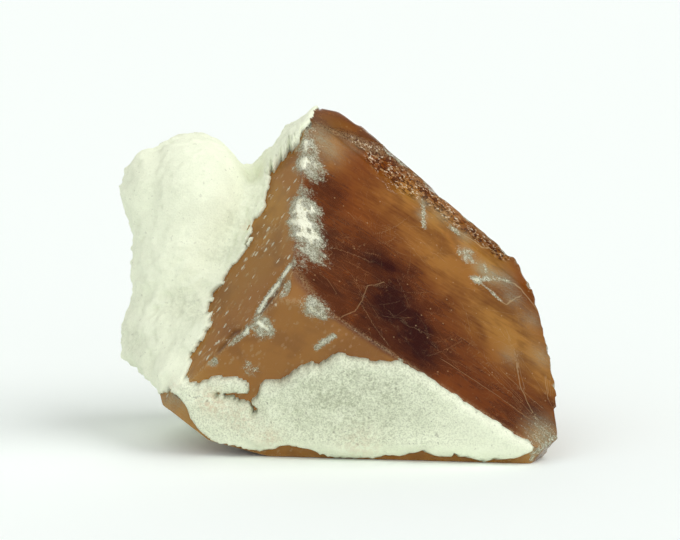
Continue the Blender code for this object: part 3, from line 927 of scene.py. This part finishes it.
def ragged(points):
    """How far the crust's edge wanders, so that it is torn like broken rock."""
    return (
        0.00012 * lattice_noise(points, 0.0011, 31)
        + 0.00014 * lattice_noise(points, 0.0005, 32)
        + 0.00010 * lattice_noise(points, 0.00025, 33)
    )


def rock_distance(points):
    """Below 0 inside the rock, or inside the crystal that it grips.

    The crystal's distance less the coat, which thickens inwards from its edge, joined with the lumps.
    """
    side, front = crust_cover(points)
    torn = ragged(points)
    side = side + torn
    front = np.minimum(front, open_cracks(points)) + torn
    height = points[..., 2]
    thick = LEFT_COAT[1] + (APEX_COAT - LEFT_COAT[1]) * eased((height - 0.0270) / 0.0025)
    thick = np.maximum(thick * (1.0 - 0.88 * eased((height - 0.0304) / 0.0026)), 0.28 * MM)
    rise = 0.0030 - 0.0021 * eased((height - 0.0245) / 0.0030)
    left_coat = LEFT_COAT[0] + (thick - LEFT_COAT[0]) * eased(side / rise)
    front_coat = FRONT_COAT[0] + (FRONT_COAT[1] - FRONT_COAT[0]) * eased(front / 0.0014)
    coat = np.where(side > front, left_coat, front_coat)
    inside = eased((np.maximum(side, front) + 0.00027) / RIM)
    distance = crystal_depth(points) - ((coat + BARE_DEPTH) * inside - BARE_DEPTH)
    for centre, half, blend in LUMPS:
        reach = np.linalg.norm((points - centre) / half, axis=-1)
        distance = joined(distance, (reach - 1.0) * min(half), blend)
    return distance


def outermost(directions):
    """How far along each ray from its heart the rock's surface lies: the last crossing, halved down."""
    steps = np.linspace(*ROCK_REACH, 34)
    low = np.full(directions.shape[:-1], steps[0])
    high = np.full(directions.shape[:-1], steps[0])

    def outside(reach):
        return rock_distance(ROCK_HEART + directions * reach[..., None]) >= 0.0

    before = outside(low)
    for start, stop in zip(steps[:-1], steps[1:]):
        after = outside(np.full(low.shape, stop))
        leaves = ~before & after
        low = np.where(leaves, start, low)
        high = np.where(leaves, stop, high)
        before = after
    return halved(low, high, outside, 8)


def rock_relief(points, settings):
    """Height of the rock's folds, lumps, crumbs, grains and pits over its smooth form.

    The round bulb is calmer than the rest and the back rougher. All but the long folds die out at the rim.
    """
    deep = crystal_depth(points)
    thick = 0.25 + 0.75 * eased(deep / 0.0022)
    calm = 1.0 - 0.70 * bell(np.linalg.norm(points - BULB_MIDDLE, axis=-1) / 0.0085)
    rough = calm + 0.45 * eased((points[..., 1] - 0.004) / 0.006)
    drawn = points - 0.62 * (points @ ROCK_RUN)[..., None] * ROCK_RUN
    lumps = 0.9 * lattice_noise(drawn, 0.0030, 3) + 0.7 * lattice_noise(drawn, 0.0014, 4)
    folds = 0.5 - np.abs(lattice_noise(drawn, 0.0011, 34))
    crumbs = 0.55 - grain_noise(points, 0.0010, 35)
    height = thick * settings.lump_height * (rough * (lumps + 0.8 * folds + 0.7 * crumbs) - 0.22)
    height += 0.00026 * thick * (0.3 + 0.7 * rough) * (0.5 - grain_noise(points, 0.00062, 42))
    height += 0.00011 * (0.5 - grain_noise(points, settings.grain_size, 36))
    height += 0.00005 * lattice_noise(points, 0.0003, 37)
    height -= 0.00014 * eased((0.24 - grain_noise(points, 0.0013, 38)) * 9.0)
    height *= eased(0.14 + deep / 0.0011)
    for path, half, rise in FOLDS:
        height += rise * bell(to_path(points, path) / half)
    return height


def seat_distance(directions):
    """How far along each ray from the rock's heart the crystal's skin lies, less the bond."""
    slopes = directions @ NORMALS.T
    rooms = DISTANCES - ROCK_HEART @ NORMALS.T - np.where(NORMALS[:, 2] > -0.99, BOND, 0.0)
    with np.errstate(divide="ignore", invalid="ignore"):
        return np.where(slopes > 1e-6, rooms / slopes, 1.0).min(axis=-1)


def snapped_rim(directions, height, rim):
    """The rays with those of the rim turned to where the rock's height passes through nothing.

    A rim ray turns towards the mean of its bare neighbours by height / (height - their mean height).
    """
    bare_way = np.zeros_like(directions)
    bare_height = np.zeros_like(height)
    count = np.zeros_like(height)
    rows = np.arange(len(height))
    for down, across in itertools.product((-1, 0, 1), (-1, 0, 1)):
        moved = np.clip(rows + down, 0, len(rows) - 1)
        way = np.roll(directions[moved], across, axis=1)
        near = np.roll(height[moved], across, axis=1)
        bare = (near <= 0.0).astype(float)
        bare_way += way * bare[..., None]
        bare_height += near * bare
        count += bare
    several = np.maximum(count, 1.0)
    share = height / np.maximum(height - bare_height / several, 1e-9)
    share = np.where(rim & (count > 0), np.clip(share, 0.0, 1.0), 0.0)[..., None]
    turned = directions * (1.0 - share) + bare_way / several[..., None] * share
    return turned / np.linalg.norm(turned, axis=-1, keepdims=True)


def rim_of(cells):
    """The grid's points that touch both kept cells and others. The lid on the top row counts as kept."""
    touching = np.zeros((len(cells) + 1, cells.shape[1], 4), bool)
    touching[:-1, :, 0] = cells
    touching[1:, :, 1] = cells
    touching[-1, :, 0] = True
    touching[:, :, 2:] = np.roll(touching[:, :, :2], 1, axis=1)
    return touching.any(axis=-1) & ~touching.all(axis=-1)


def rock_surface(settings):
    """The matrix as a shell between the crystal's skin and the rock's outer surface.

    Both are distances from the rock's heart on a grid of azimuth and elevation. Cells where the rock
    stands clear of the crystal are kept on both, the two share their points along the rim, and a lid
    closes each at the top of the grid.
    """
    columns = int(settings.columns / detail())
    rows = columns // 2
    share = np.arange(columns) / columns
    # Columns stand closer together towards the front left
    azimuth = 2.0 * np.pi * share - 0.16 * np.sin(2.0 * np.pi * share - np.radians(235.0))
    elevation = np.linspace(-0.495 * np.pi, 0.495 * np.pi, rows)
    turn, lift = np.meshgrid(azimuth, elevation)
    directions = np.stack([np.cos(lift) * np.cos(turn), np.cos(lift) * np.sin(turn), np.sin(lift)], axis=-1)
    outer = outermost(directions)
    outer = outer + rock_relief(ROCK_HEART + directions * outer[..., None], settings)
    with np.errstate(divide="ignore"):
        ground = np.where(directions[..., 2] < 0.0, -ROCK_HEART[2] / directions[..., 2], 1.0)
    outer = np.minimum(outer, ground)
    inner = seat_distance(directions)
    clear = outer - inner > 0.002 * MM
    cells = clear[:-1] & clear[1:]
    cells = biggest_island(cells & np.roll(cells, -1, axis=1))
    if not cells[-1].all():
        raise RuntimeError("the rock doesn't close over the top of its grid")
    rim = rim_of(cells)
    directions = snapped_rim(directions, outer - inner, rim)
    inner = np.where(rim, seat_distance(directions), inner)
    outer = np.where(rim, inner, outer)
    skin, seat = [(ROCK_HEART + directions * reach[..., None]).reshape(-1, 3) for reach in (outer, inner)]
    at = np.arange(rows * columns).reshape(rows, columns)
    after = np.roll(at, -1, axis=1)
    chosen = np.stack([at[:-1], after[:-1], after[1:], at[1:]], axis=-1)[cells]
    below = np.where(rim, at, at + rows * columns)
    both = np.concatenate([chosen, below.ravel()[chosen][:, ::-1]])
    lids = np.stack([at[-1], below[-1, ::-1]])
    used = np.unique(both)
    points = np.concatenate([skin, seat])[used]
    return points, [np.searchsorted(used, both), np.searchsorted(used, lids)], rock_marks(points)


def rock_marks(points):
    """Where the rock is grainy, grey with painted shade, and stained."""
    side, front = crust_cover(points)
    on_front = eased(0.5 + (front - side) / 0.0016)
    fade = eased((points[:, 2] - 0.0013) / 0.0009) * (1.0 - 0.65 * eased((points[:, 0] - 0.008) / 0.007))
    grey = pooled(points, GREY_AND_SHADE_PLACES) * (0.8 + 0.4 * lattice_noise(points, 0.0016, 39))
    return {
        "grainy": on_front * fade,
        "grey": np.clip(grey, 0.0, 1.0),
        "stain": np.clip(pooled(points, STAIN_PLACES), 0.0, 1.0),
    }


def biggest_island(cells):
    """Only the largest connected group of cells: labels spread to their neighbours until they settle."""
    label = np.where(cells, np.arange(1, cells.size + 1).reshape(cells.shape), 0)
    while True:
        spread = label.copy()
        for shift, axis in ((1, 0), (-1, 0), (1, 1), (-1, 1)):
            moved = np.roll(label, shift, axis=axis)
            if axis == 0:
                moved[0 if shift == 1 else -1] = 0
            spread = np.maximum(spread, moved)
        spread = np.where(cells, spread, 0)
        if (spread == label).all():
            break
        label = spread
    numbers, counts = np.unique(label[label > 0], return_counts=True)
    return label == numbers[counts.argmax()]


def detail():
    """The coarseness of the grids, 1 in the finished model."""
    return 1.0


def add(tree, kind, inputs=(), **settings):
    """One shader node, its inputs set to values or linked to sockets."""
    made = tree.nodes.new("ShaderNode" + kind)
    for name, value in settings.items():
        setattr(made, name, value)
    for name, value in dict(inputs).items():
        if isinstance(value, bpy.types.NodeSocket):
            tree.links.new(value, made.inputs[name])
        else:
            made.inputs[name].default_value = value
    return made


def math(tree, operation, *values, clamp=False):
    """The result of a Math node on these values or sockets."""
    return add(tree, "Math", dict(enumerate(values)), operation=operation, use_clamp=clamp).outputs[0]


def vector_math(tree, operation, first, second):
    """The outputs of a Vector Math node."""
    return add(tree, "VectorMath", {0: first, 1: second}, operation=operation).outputs


def blended(tree, share, first, second, kind="MIX"):
    """Two colours blended by share."""
    return add(tree, "Mix", {0: share, 6: first, 7: second}, data_type="RGBA", blend_type=kind).outputs[2]


def ramped(tree, value, low, high, start=0.0, stop=1.0):
    """The value carried smoothly from low..high to start..stop."""
    inputs = {0: value, 1: low, 2: high, 3: start, 4: stop}
    return add(tree, "MapRange", inputs, interpolation_type="SMOOTHSTEP").outputs[0]


def noise(tree, place, scale, rough=0.5, levels=2.0, warp=0.0):
    """A noise texture's value."""
    inputs = {"Vector": place, "Scale": scale, "Roughness": rough, "Detail": levels, "Distortion": warp}
    return add(tree, "TexNoise", inputs).outputs[0]


def mark(tree, name):
    """An attribute of the mesh as a value."""
    return add(tree, "Attribute", attribute_name=name).outputs["Fac"]


def product(tree, *values):
    """Masks multiplied together."""
    total = values[0]
    for value in values[1:]:
        total = math(tree, "MULTIPLY", total, value)
    return total


def greatest(tree, *values):
    """The greatest of several masks."""
    total = values[0]
    for value in values[1:]:
        total = math(tree, "MAXIMUM", total, value)
    return total


def swayed(tree, value, *waves):
    """A value with noises added, each less its middle and times its strength."""
    for wave, strength in waves:
        value = math(tree, "MULTIPLY_ADD", math(tree, "SUBTRACT", wave, 0.5), strength, value)
    return value


def threads(tree, value, width):
    """Thin lines where a noise value passes its middle."""
    return ramped(tree, math(tree, "ABSOLUTE", math(tree, "SUBTRACT", value, 0.5)), width, 0.0)


def new_material(name):
    """An empty node material and its tree."""
    made = bpy.data.materials.new(name)
    made.use_nodes = True
    made.node_tree.nodes.clear()
    return made, made.node_tree


def new_group(name, inputs, outputs):
    """An empty node group with named sockets: its tree, what it is given and what it puts out."""
    tree = bpy.data.node_groups.new(name, "ShaderNodeTree")
    for way, sockets in (("INPUT", inputs), ("OUTPUT", outputs)):
        for label, kind in sockets.items():
            tree.interface.new_socket(label, in_out=way, socket_type="NodeSocket" + kind)
    return tree, tree.nodes.new("NodeGroupInput").outputs, tree.nodes.new("NodeGroupOutput").inputs


def grouped(tree, name, build, values):
    """The outputs of a node group with these values, built when it is first wanted."""
    group = bpy.data.node_groups.get(name) or build(name)
    return add(tree, "Group", values, node_tree=group).outputs


def mottle_group(name):
    """Cloudy patches and fine grain, as two masks, from a place and their sizes."""
    inputs = {"Place": "Vector", "Cloud scale": "Float", "Grain scale": "Float"}
    tree, given, result = new_group(name, inputs, {"Clouds": "Float", "Grain": "Float"})
    clouds = noise(tree, given["Place"], given["Cloud scale"], 0.55, 4.0, 0.3)
    grain = noise(tree, given["Place"], given["Grain scale"], 0.7, 3.0)
    tree.links.new(ramped(tree, clouds, 0.35, 0.65), result["Clouds"])
    tree.links.new(ramped(tree, grain, 0.3, 0.7), result["Grain"])
    return tree


def mottled(tree, place, cloud_scale, grain_scale):
    """The mottle group's clouds and grain at this place."""
    values = {"Place": place, "Cloud scale": cloud_scale, "Grain scale": grain_scale}
    made = grouped(tree, "Mottle", mottle_group, values)
    return made["Clouds"], made["Grain"]


def streak_group(name):
    """Noise and cells stretched along a direction: a noise, how far the cell's middle is, its chance."""
    inputs = dict.fromkeys(("Place", "Run", "Across"), "Vector")
    inputs |= dict.fromkeys(("Stretch", "Scale", "Warp"), "Float")
    tree, given, result = new_group(name, inputs, dict.fromkeys(("Value", "Dots", "Chance"), "Float"))
    normal = vector_math(tree, "CROSS_PRODUCT", given["Run"], given["Across"])["Vector"]
    ways = (given["Run"], given["Across"], normal)
    parts = [vector_math(tree, "DOT_PRODUCT", given["Place"], way)["Value"] for way in ways]
    parts[0] = math(tree, "DIVIDE", parts[0], given["Stretch"])
    turned = add(tree, "CombineXYZ", dict(enumerate(parts))).outputs[0]
    cells = add(tree, "TexVoronoi", {"Vector": turned, "Scale": given["Scale"]}).outputs
    chance = add(tree, "SeparateColor", {0: cells["Color"]}).outputs[0]
    tree.links.new(noise(tree, turned, given["Scale"], 0.5, 2.0, given["Warp"]), result["Value"])
    tree.links.new(cells["Distance"], result["Dots"])
    tree.links.new(chance, result["Chance"])
    return tree


def streaked(tree, place, ways, stretch, scale, warp=0.3):
    """The streak group's outputs for a direction and the one across it."""
    values = {"Place": place, "Stretch": stretch, "Scale": scale, "Warp": warp}
    return grouped(tree, "Streaks", streak_group, values | dict(zip(("Run", "Across"), ways)))


def face_ways(face, run):
    """The direction that a face is drawn out in, and the one across it."""
    return tuple(run), tuple(np.cross(NORMALS[ROW[face]], run))


def skin_group(name):
    """The crystal's skin: painted shade and light in pools and streaks of brown, scratches, flecks and
    glints painted as highlights, haze, and white where crushed.
    """
    colours = dict.fromkeys(("Light brown", "Dark brown", "Tan", "Scratch tan", "Haze", "White"), "Color")
    outputs = {"Colour": "Color", "Roughness": "Float", "Normal": "Vector"}
    tree, given, result = new_group(name, colours, outputs)
    place = add(tree, "TexCoord").outputs["Object"]
    clouds, grain = mottled(tree, place, 260.0, 6500.0)
    front_ways = face_ways("right front", STREAK_RUN)
    labels = ("right_front", "left_end", "pitted", "white")
    front, left, pitted, crushed = [mark(tree, label) for label in labels]
    broad = streaked(tree, place, front_ways, 3.0, 520.0, 0.8)["Value"]
    fine = streaked(tree, place, front_ways, 6.0, 3600.0, 0.5)["Value"]
    facets = streaked(tree, place, front_ways, 1.6, 4300.0, 1.2)
    short = streaked(tree, place, face_ways("left end", FLECK_RUN), 2.1, 2300.0)
    motes = streaked(tree, place, front_ways, 1.0, 1250.0)

    # Body: light brown, tan in the painted light of the pale pools, dark brown in the painted shade of the
    # dark pools
    shade = math(tree, "MULTIPLY", front, 0.58)
    shade_and_tone = swayed(tree, mark(tree, "shade_and_tone"), (broad, shade), (fine, shade), (clouds, 0.32))
    shade_and_tone = math(tree, "MULTIPLY", shade_and_tone, 1.0, clamp=True)
    pale = math(tree, "MULTIPLY", mark(tree, "pale"), math(tree, "SUBTRACT", 1.0, shade_and_tone), clamp=True)
    body = blended(tree, pale, given["Light brown"], given["Tan"])
    body = blended(tree, shade_and_tone, body, given["Dark brown"])

    # The pitted zone: each small facet in painted shade, a tan or white painted glint, or neither
    crumbs = noise(tree, place, 2400.0, 0.65, 3.0, 1.2)
    low = ramped(tree, facets["Value"], 0.64, 0.50)
    pit_shade = product(tree, pitted, ramped(tree, facets["Chance"], 0.40, 0.36), low)
    bright = product(tree, pitted, ramped(tree, facets["Value"], 0.50, 0.58))
    flash = product(tree, bright, ramped(tree, facets["Chance"], 0.44, 0.50))
    glint = product(tree, bright, ramped(tree, facets["Chance"], 0.62, 0.68))
    glint = product(tree, glint, ramped(tree, crumbs, 0.44, 0.54))
    # Painted shade on the sunk facets, with the dark scores, in dark brown
    pit_shade_and_dark_scores = math(tree, "MULTIPLY", greatest(tree, mark(tree, "dark"), pit_shade), 0.8)
    body = blended(tree, pit_shade_and_dark_scores, body, given["Dark brown"])

    # Scratches, flecks painted as glints, specks, the pitted zone's tan painted glints, and worn edges with
    # a painted sheen
    lines = ramped(tree, math(tree, "ABSOLUTE", mark(tree, "line_side")), 1.8, 0.6)
    curls = threads(tree, noise(tree, place, 420.0, 0.5, 2.0, 1.5), 0.005)
    patches = ramped(tree, noise(tree, place, 650.0), 0.44, 0.56)
    # The flecks and pocks on the left end are painted glints
    fleck_glints = ramped(tree, swayed(tree, short["Dots"], (grain, 0.25), (crumbs, 0.35)), 0.36, 0.24)
    fleck_glints = product(tree, fleck_glints, ramped(tree, short["Chance"], 0.34, 0.42), patches)
    fleck_glints = math(tree, "MULTIPLY", fleck_glints, math(tree, "SUBTRACT", 1.0, front))
    specks = ramped(tree, motes["Dots"], 0.13, 0.06)
    specks = product(tree, specks, ramped(tree, motes["Chance"], 0.45, 0.5))
    # Worn edges, lighter as a painted sheen along the ridges too
    wear_and_sheen = math(tree, "MULTIPLY", mark(tree, "edge"), ramped(tree, grain, 0.25, 0.75))
    pocks = math(tree, "MULTIPLY", mark(tree, "pock_glint"), ramped(tree, grain, 0.30, 0.60))
    scratched = product(tree, lines, mark(tree, "line_white"), 0.75)
    fleck_share = math(tree, "MULTIPLY_ADD", left, 0.40, 0.28)
    for mask, strength in (
        (curls, 0.16), (fleck_glints, fleck_share), (pocks, 0.70), (flash, 0.55), (specks, 0.45), (wear_and_sheen, 0.40),
    ):
        scratched = greatest(tree, scratched, math(tree, "MULTIPLY", mask, strength))
    body = blended(tree, scratched, body, given["Scratch tan"])

    # Haze, and grey where the crystal is bruised
    near = ramped(tree, crushed, 0.02, 0.25)
    wisps = swayed(tree, 0.85, (fine, 1.2), (grain, 0.8))
    hazy = math(tree, "MULTIPLY", mark(tree, "haze"), wisps, clamp=True)
    soft = ramped(tree, swayed(tree, crushed, (fine, 0.4), (grain, 0.2), (crumbs, 0.7)), 0.20, 0.50)
    body = blended(tree, greatest(tree, hazy, product(tree, soft, near, 0.82)), body, given["Haze"])

    # White: crumpled threads in the bruises, and painted glints in the pitted zone and on the left end
    crumpled = threads(tree, noise(tree, place, 1500.0, 0.6, 3.0, 2.5), 0.06)
    creases = threads(tree, noise(tree, place, 1900.0, 0.6, 2.0, 3.0), 0.035)
    white = math(tree, "MULTIPLY_ADD", creases, -0.45, crushed)
    white = math(tree, "MULTIPLY_ADD", crumpled, 0.35, white)
    white = ramped(tree, swayed(tree, white, (grain, 0.25), (crumbs, 1.3)), 0.52, 0.92)
    sparks = product(tree, fleck_glints, left, ramped(tree, short["Chance"], 0.66, 0.72))
    glints = math(tree, "MULTIPLY", greatest(tree, glint, sparks), 0.85)
    white = greatest(tree, math(tree, "MULTIPLY", white, near), glints)

    height = math(tree, "MULTIPLY_ADD", facets["Dots"], pitted, math(tree, "MULTIPLY", fine, 0.15))
    height = math(tree, "MULTIPLY_ADD", grain, greatest(tree, white, mark(tree, "haze")), height)
    bump = add(tree, "Bump", {"Strength": 0.4, "Distance": 0.00005, "Height": height})
    tree.links.new(blended(tree, white, body, given["White"]), result["Colour"])
    tree.links.new(math(tree, "MULTIPLY_ADD", white, 0.45, 0.12), result["Roughness"])
    tree.links.new(bump.outputs[0], result["Normal"])
    return tree


def topaz_inputs(tree, settings):
    """What both of the crystal's materials give their shader."""
    colours = {
        "Light brown": settings.light_brown,
        "Dark brown": settings.dark_brown,
        "Tan": settings.tan,
        "Scratch tan": settings.scratch_and_glint_tan,
        "Haze": settings.haze,
        "White": settings.bruise_and_glint_white,
    }
    skin = grouped(tree, "Topaz skin", skin_group, colours)
    return {
        "Base Color": skin["Colour"],
        "Roughness": skin["Roughness"],
        "Specular IOR Level": settings.sheen_level,
        "Normal": skin["Normal"],
    }


def topaz_material(settings):
    """Brown glass, tinted through the body."""
    made, tree = new_material("brown_topaz")
    inputs = topaz_inputs(tree, settings)
    inputs |= {"IOR": settings.bending, "Transmission Weight": settings.clearness}
    glass = add(tree, "BsdfPrincipled", inputs)
    tint = add(tree, "VolumeAbsorption", {"Color": settings.absorbed, "Density": settings.density})
    add(tree, "OutputMaterial", {"Surface": glass.outputs[0], "Volume": tint.outputs[0]})
    return made


def crushed_material(settings):
    """The same skin where the crystal is crushed to powder, so that no light goes in."""
    made, tree = new_material("crushed_topaz")
    powder = add(tree, "BsdfPrincipled", topaz_inputs(tree, settings))
    add(tree, "OutputMaterial", {"Surface": powder.outputs[0]})
    return made


def rhyolite_material(settings):
    """Powdery cream rock with grey grains, painted grey shade in its hollows, dark specks and a few brown
    stains.
    """
    made, tree = new_material("pale_rhyolite")
    place = add(tree, "TexCoord").outputs["Object"]
    clouds, grain = mottled(tree, place, 330.0, 6500.0)
    grey, grainy = mark(tree, "grey"), mark(tree, "grainy")
    sand = noise(tree, place, 2300.0, 0.7, 3.0)
    dots = ramped(tree, noise(tree, place, 6000.0, 0.6, 2.0), 0.40, 0.66)
    sandy = ramped(tree, sand, 0.38, 0.62)
    share = math(tree, "MULTIPLY_ADD", clouds, 0.12, math(tree, "MULTIPLY", grainy, 0.05))
    share = math(tree, "MULTIPLY_ADD", dots, math(tree, "MULTIPLY_ADD", grainy, 0.36, 0.09), share)
    # Grey from the grey places, mostly painted shade, and from the sand
    share = math(tree, "MULTIPLY_ADD", grey, math(tree, "MULTIPLY_ADD", sandy, 0.42, 0.28), share)
    colour = blended(tree, math(tree, "MULTIPLY", share, 1.0, clamp=True), settings.cream, settings.grey)
    stained = math(tree, "MULTIPLY", mark(tree, "stain"), ramped(tree, sand, 0.35, 0.60))
    colour = blended(tree, stained, colour, settings.stain)
    specks = ramped(tree, noise(tree, place, 2600.0, 0.5, 1.0), 0.68, 0.76)
    specks = math(tree, "MULTIPLY", specks, math(tree, "MULTIPLY_ADD", grainy, 0.30, 0.20))
    colour = blended(tree, specks, colour, settings.speck)
    height = math(tree, "MULTIPLY_ADD", sand, 1.2, grain)
    bump = add(tree, "Bump", {"Strength": 0.5, "Distance": 0.00007, "Height": height}).outputs[0]
    stone = add(tree, "BsdfPrincipled", {"Base Color": colour, "Roughness": 0.9, "Normal": bump})
    add(tree, "OutputMaterial", {"Surface": stone.outputs[0]})
    return made


class TOPAZ_OT_crystal(bpy.types.Operator):
    """Make the topaz crystal's fine surface in place of its solid"""

    bl_idname = "topaz.crystal"
    bl_label = "Topaz crystal"

    def execute(self, context):
        settings = context.scene.topaz_crystal
        points, faces, marks = crystal_surface(settings)
        piece = mesh_piece("topaz_surface", points, faces, marks)
        piece.data.materials.append(topaz_material(settings))
        piece.data.materials.append(crushed_material(settings))
        chosen = np.concatenate([marks["white"][group].min(axis=1) > CRUSHED_FROM for group in faces])
        piece.data.polygons.foreach_set("material_index", chosen.astype(np.int32))
        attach(piece, "root")
        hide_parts("topaz_crystal")
        return {"FINISHED"}


class TOPAZ_OT_matrix(bpy.types.Operator):
    """Make the rhyolite matrix's fine surface in place of its solid"""

    bl_idname = "topaz.matrix"
    bl_label = "Rhyolite matrix"

    def execute(self, context):
        settings = context.scene.topaz_matrix
        piece = mesh_piece("rhyolite_surface", *rock_surface(settings))
        piece.data.materials.append(rhyolite_material(settings))
        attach(piece, "root")
        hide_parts("rhyolite_matrix")
        return {"FINISHED"}


def soft_room(settings):
    """Light from all round, more from the right, and little from where the right front face mirrors it."""
    world = bpy.data.worlds.new("soft room")
    bpy.context.scene.world = world
    world.use_nodes = True
    tree = world.node_tree
    tree.nodes.clear()
    way = add(tree, "TexCoord").outputs["Generated"]
    towards = vector_math(tree, "DOT_PRODUCT", way, (0.65, 0.10, 0.75))["Value"]
    lit = ramped(tree, towards, 0.90, 0.35, 0.02, settings.sky_strength)
    aside = vector_math(tree, "DOT_PRODUCT", way, (0.60, 0.0, 0.0))["Value"]
    strength = math(tree, "MULTIPLY", lit, math(tree, "ADD", aside, 1.0))
    sky = add(tree, "Background", {"Color": (1.0, 1.0, 1.0, 1.0), "Strength": strength})
    add(tree, "OutputWorld", {"Surface": sky.outputs[0]})


def pale_floor(settings):
    """A wide pale floor."""
    half = 1.5
    corners = [(-half, -half, 0.0), (half, -half, 0.0), (half, half, 0.0), (-half, half, 0.0)]
    mesh = bpy.data.meshes.new("floor")
    mesh.from_pydata(corners, [], [(0, 1, 2, 3)])
    floor = bpy.data.objects.new("floor", mesh)
    bpy.context.scene.collection.objects.link(floor)
    made, tree = new_material("pale_floor")
    plain = add(tree, "BsdfPrincipled", {"Base Color": settings.floor_colour, "Roughness": 0.9})
    add(tree, "OutputMaterial", {"Surface": plain.outputs[0]})
    mesh.materials.append(made)


def soft_key(settings):
    """A wide soft light from the upper right, that nothing mirrors."""
    light = bpy.data.lights.new("soft key", "SUN")
    light.energy = settings.key_power
    light.angle = settings.key_softness
    lamp = bpy.data.objects.new("soft key", light)
    lamp.location = (0.60, -0.22, 0.75)
    lamp.rotation_mode = "QUATERNION"
    lamp.rotation_quaternion = (-lamp.location).to_track_quat("-Z", "Y")
    lamp.visible_glossy = False
    bpy.context.scene.collection.objects.link(lamp)


def aimed_camera(settings):
    """The camera at the photograph's angle."""
    data = bpy.data.cameras.new("camera")
    data.lens = settings.lens
    data.sensor_width = 36.0
    data.clip_start = 0.01
    camera = bpy.data.objects.new("camera", data)
    lift = settings.camera_height
    back = np.array([0.0, -np.cos(lift), np.sin(lift)]) * settings.camera_distance
    camera.location = np.array([SHIFT[0], SHIFT[1], settings.aim_height]) + back
    camera.rotation_euler = (np.pi / 2.0 - lift, 0.0, 0.0)
    bpy.context.scene.collection.objects.link(camera)
    bpy.context.scene.camera = camera


class TOPAZ_OT_stage(bpy.types.Operator):
    """Make the pale floor, the soft light and the camera"""

    bl_idname = "topaz.stage"
    bl_label = "Stage"

    def execute(self, context):
        settings = context.scene.topaz_stage
        context.scene.view_settings.view_transform = "Standard"
        pale_floor(settings)
        soft_room(settings)
        soft_key(settings)
        aimed_camera(settings)
        return {"FINISHED"}


class TOPAZ_PT_specimen(bpy.types.Panel):
    """The specimen's pieces and their settings"""

    bl_label = "Topaz on rhyolite"
    bl_space_type = "VIEW_3D"
    bl_region_type = "UI"
    bl_category = "Topaz"

    def draw(self, context):
        for kind, settings in (
            (TOPAZ_OT_crystal, context.scene.topaz_crystal),
            (TOPAZ_OT_matrix, context.scene.topaz_matrix),
            (TOPAZ_OT_stage, context.scene.topaz_stage),
        ):
            box = self.layout.box()
            box.operator(kind.bl_idname)
            for name in settings.__annotations__:
                box.prop(settings, name)


CLASSES = (
    TopazCrystalSettings,
    RhyoliteSettings,
    StageSettings,
    TOPAZ_OT_crystal,
    TOPAZ_OT_matrix,
    TOPAZ_OT_stage,
    TOPAZ_PT_specimen,
)


def register():
    for kind in CLASSES:
        bpy.utils.register_class(kind)
    bpy.types.Scene.topaz_crystal = PointerProperty(type=TopazCrystalSettings)
    bpy.types.Scene.topaz_matrix = PointerProperty(type=RhyoliteSettings)
    bpy.types.Scene.topaz_stage = PointerProperty(type=StageSettings)


def unregister():
    del bpy.types.Scene.topaz_stage
    del bpy.types.Scene.topaz_matrix
    del bpy.types.Scene.topaz_crystal
    for kind in reversed(CLASSES):
        bpy.utils.unregister_class(kind)


def main():
    register()
    bpy.ops.topaz.stage()
    bpy.ops.topaz.crystal()
    bpy.ops.topaz.matrix()


if __name__ == "__main__":
    main()
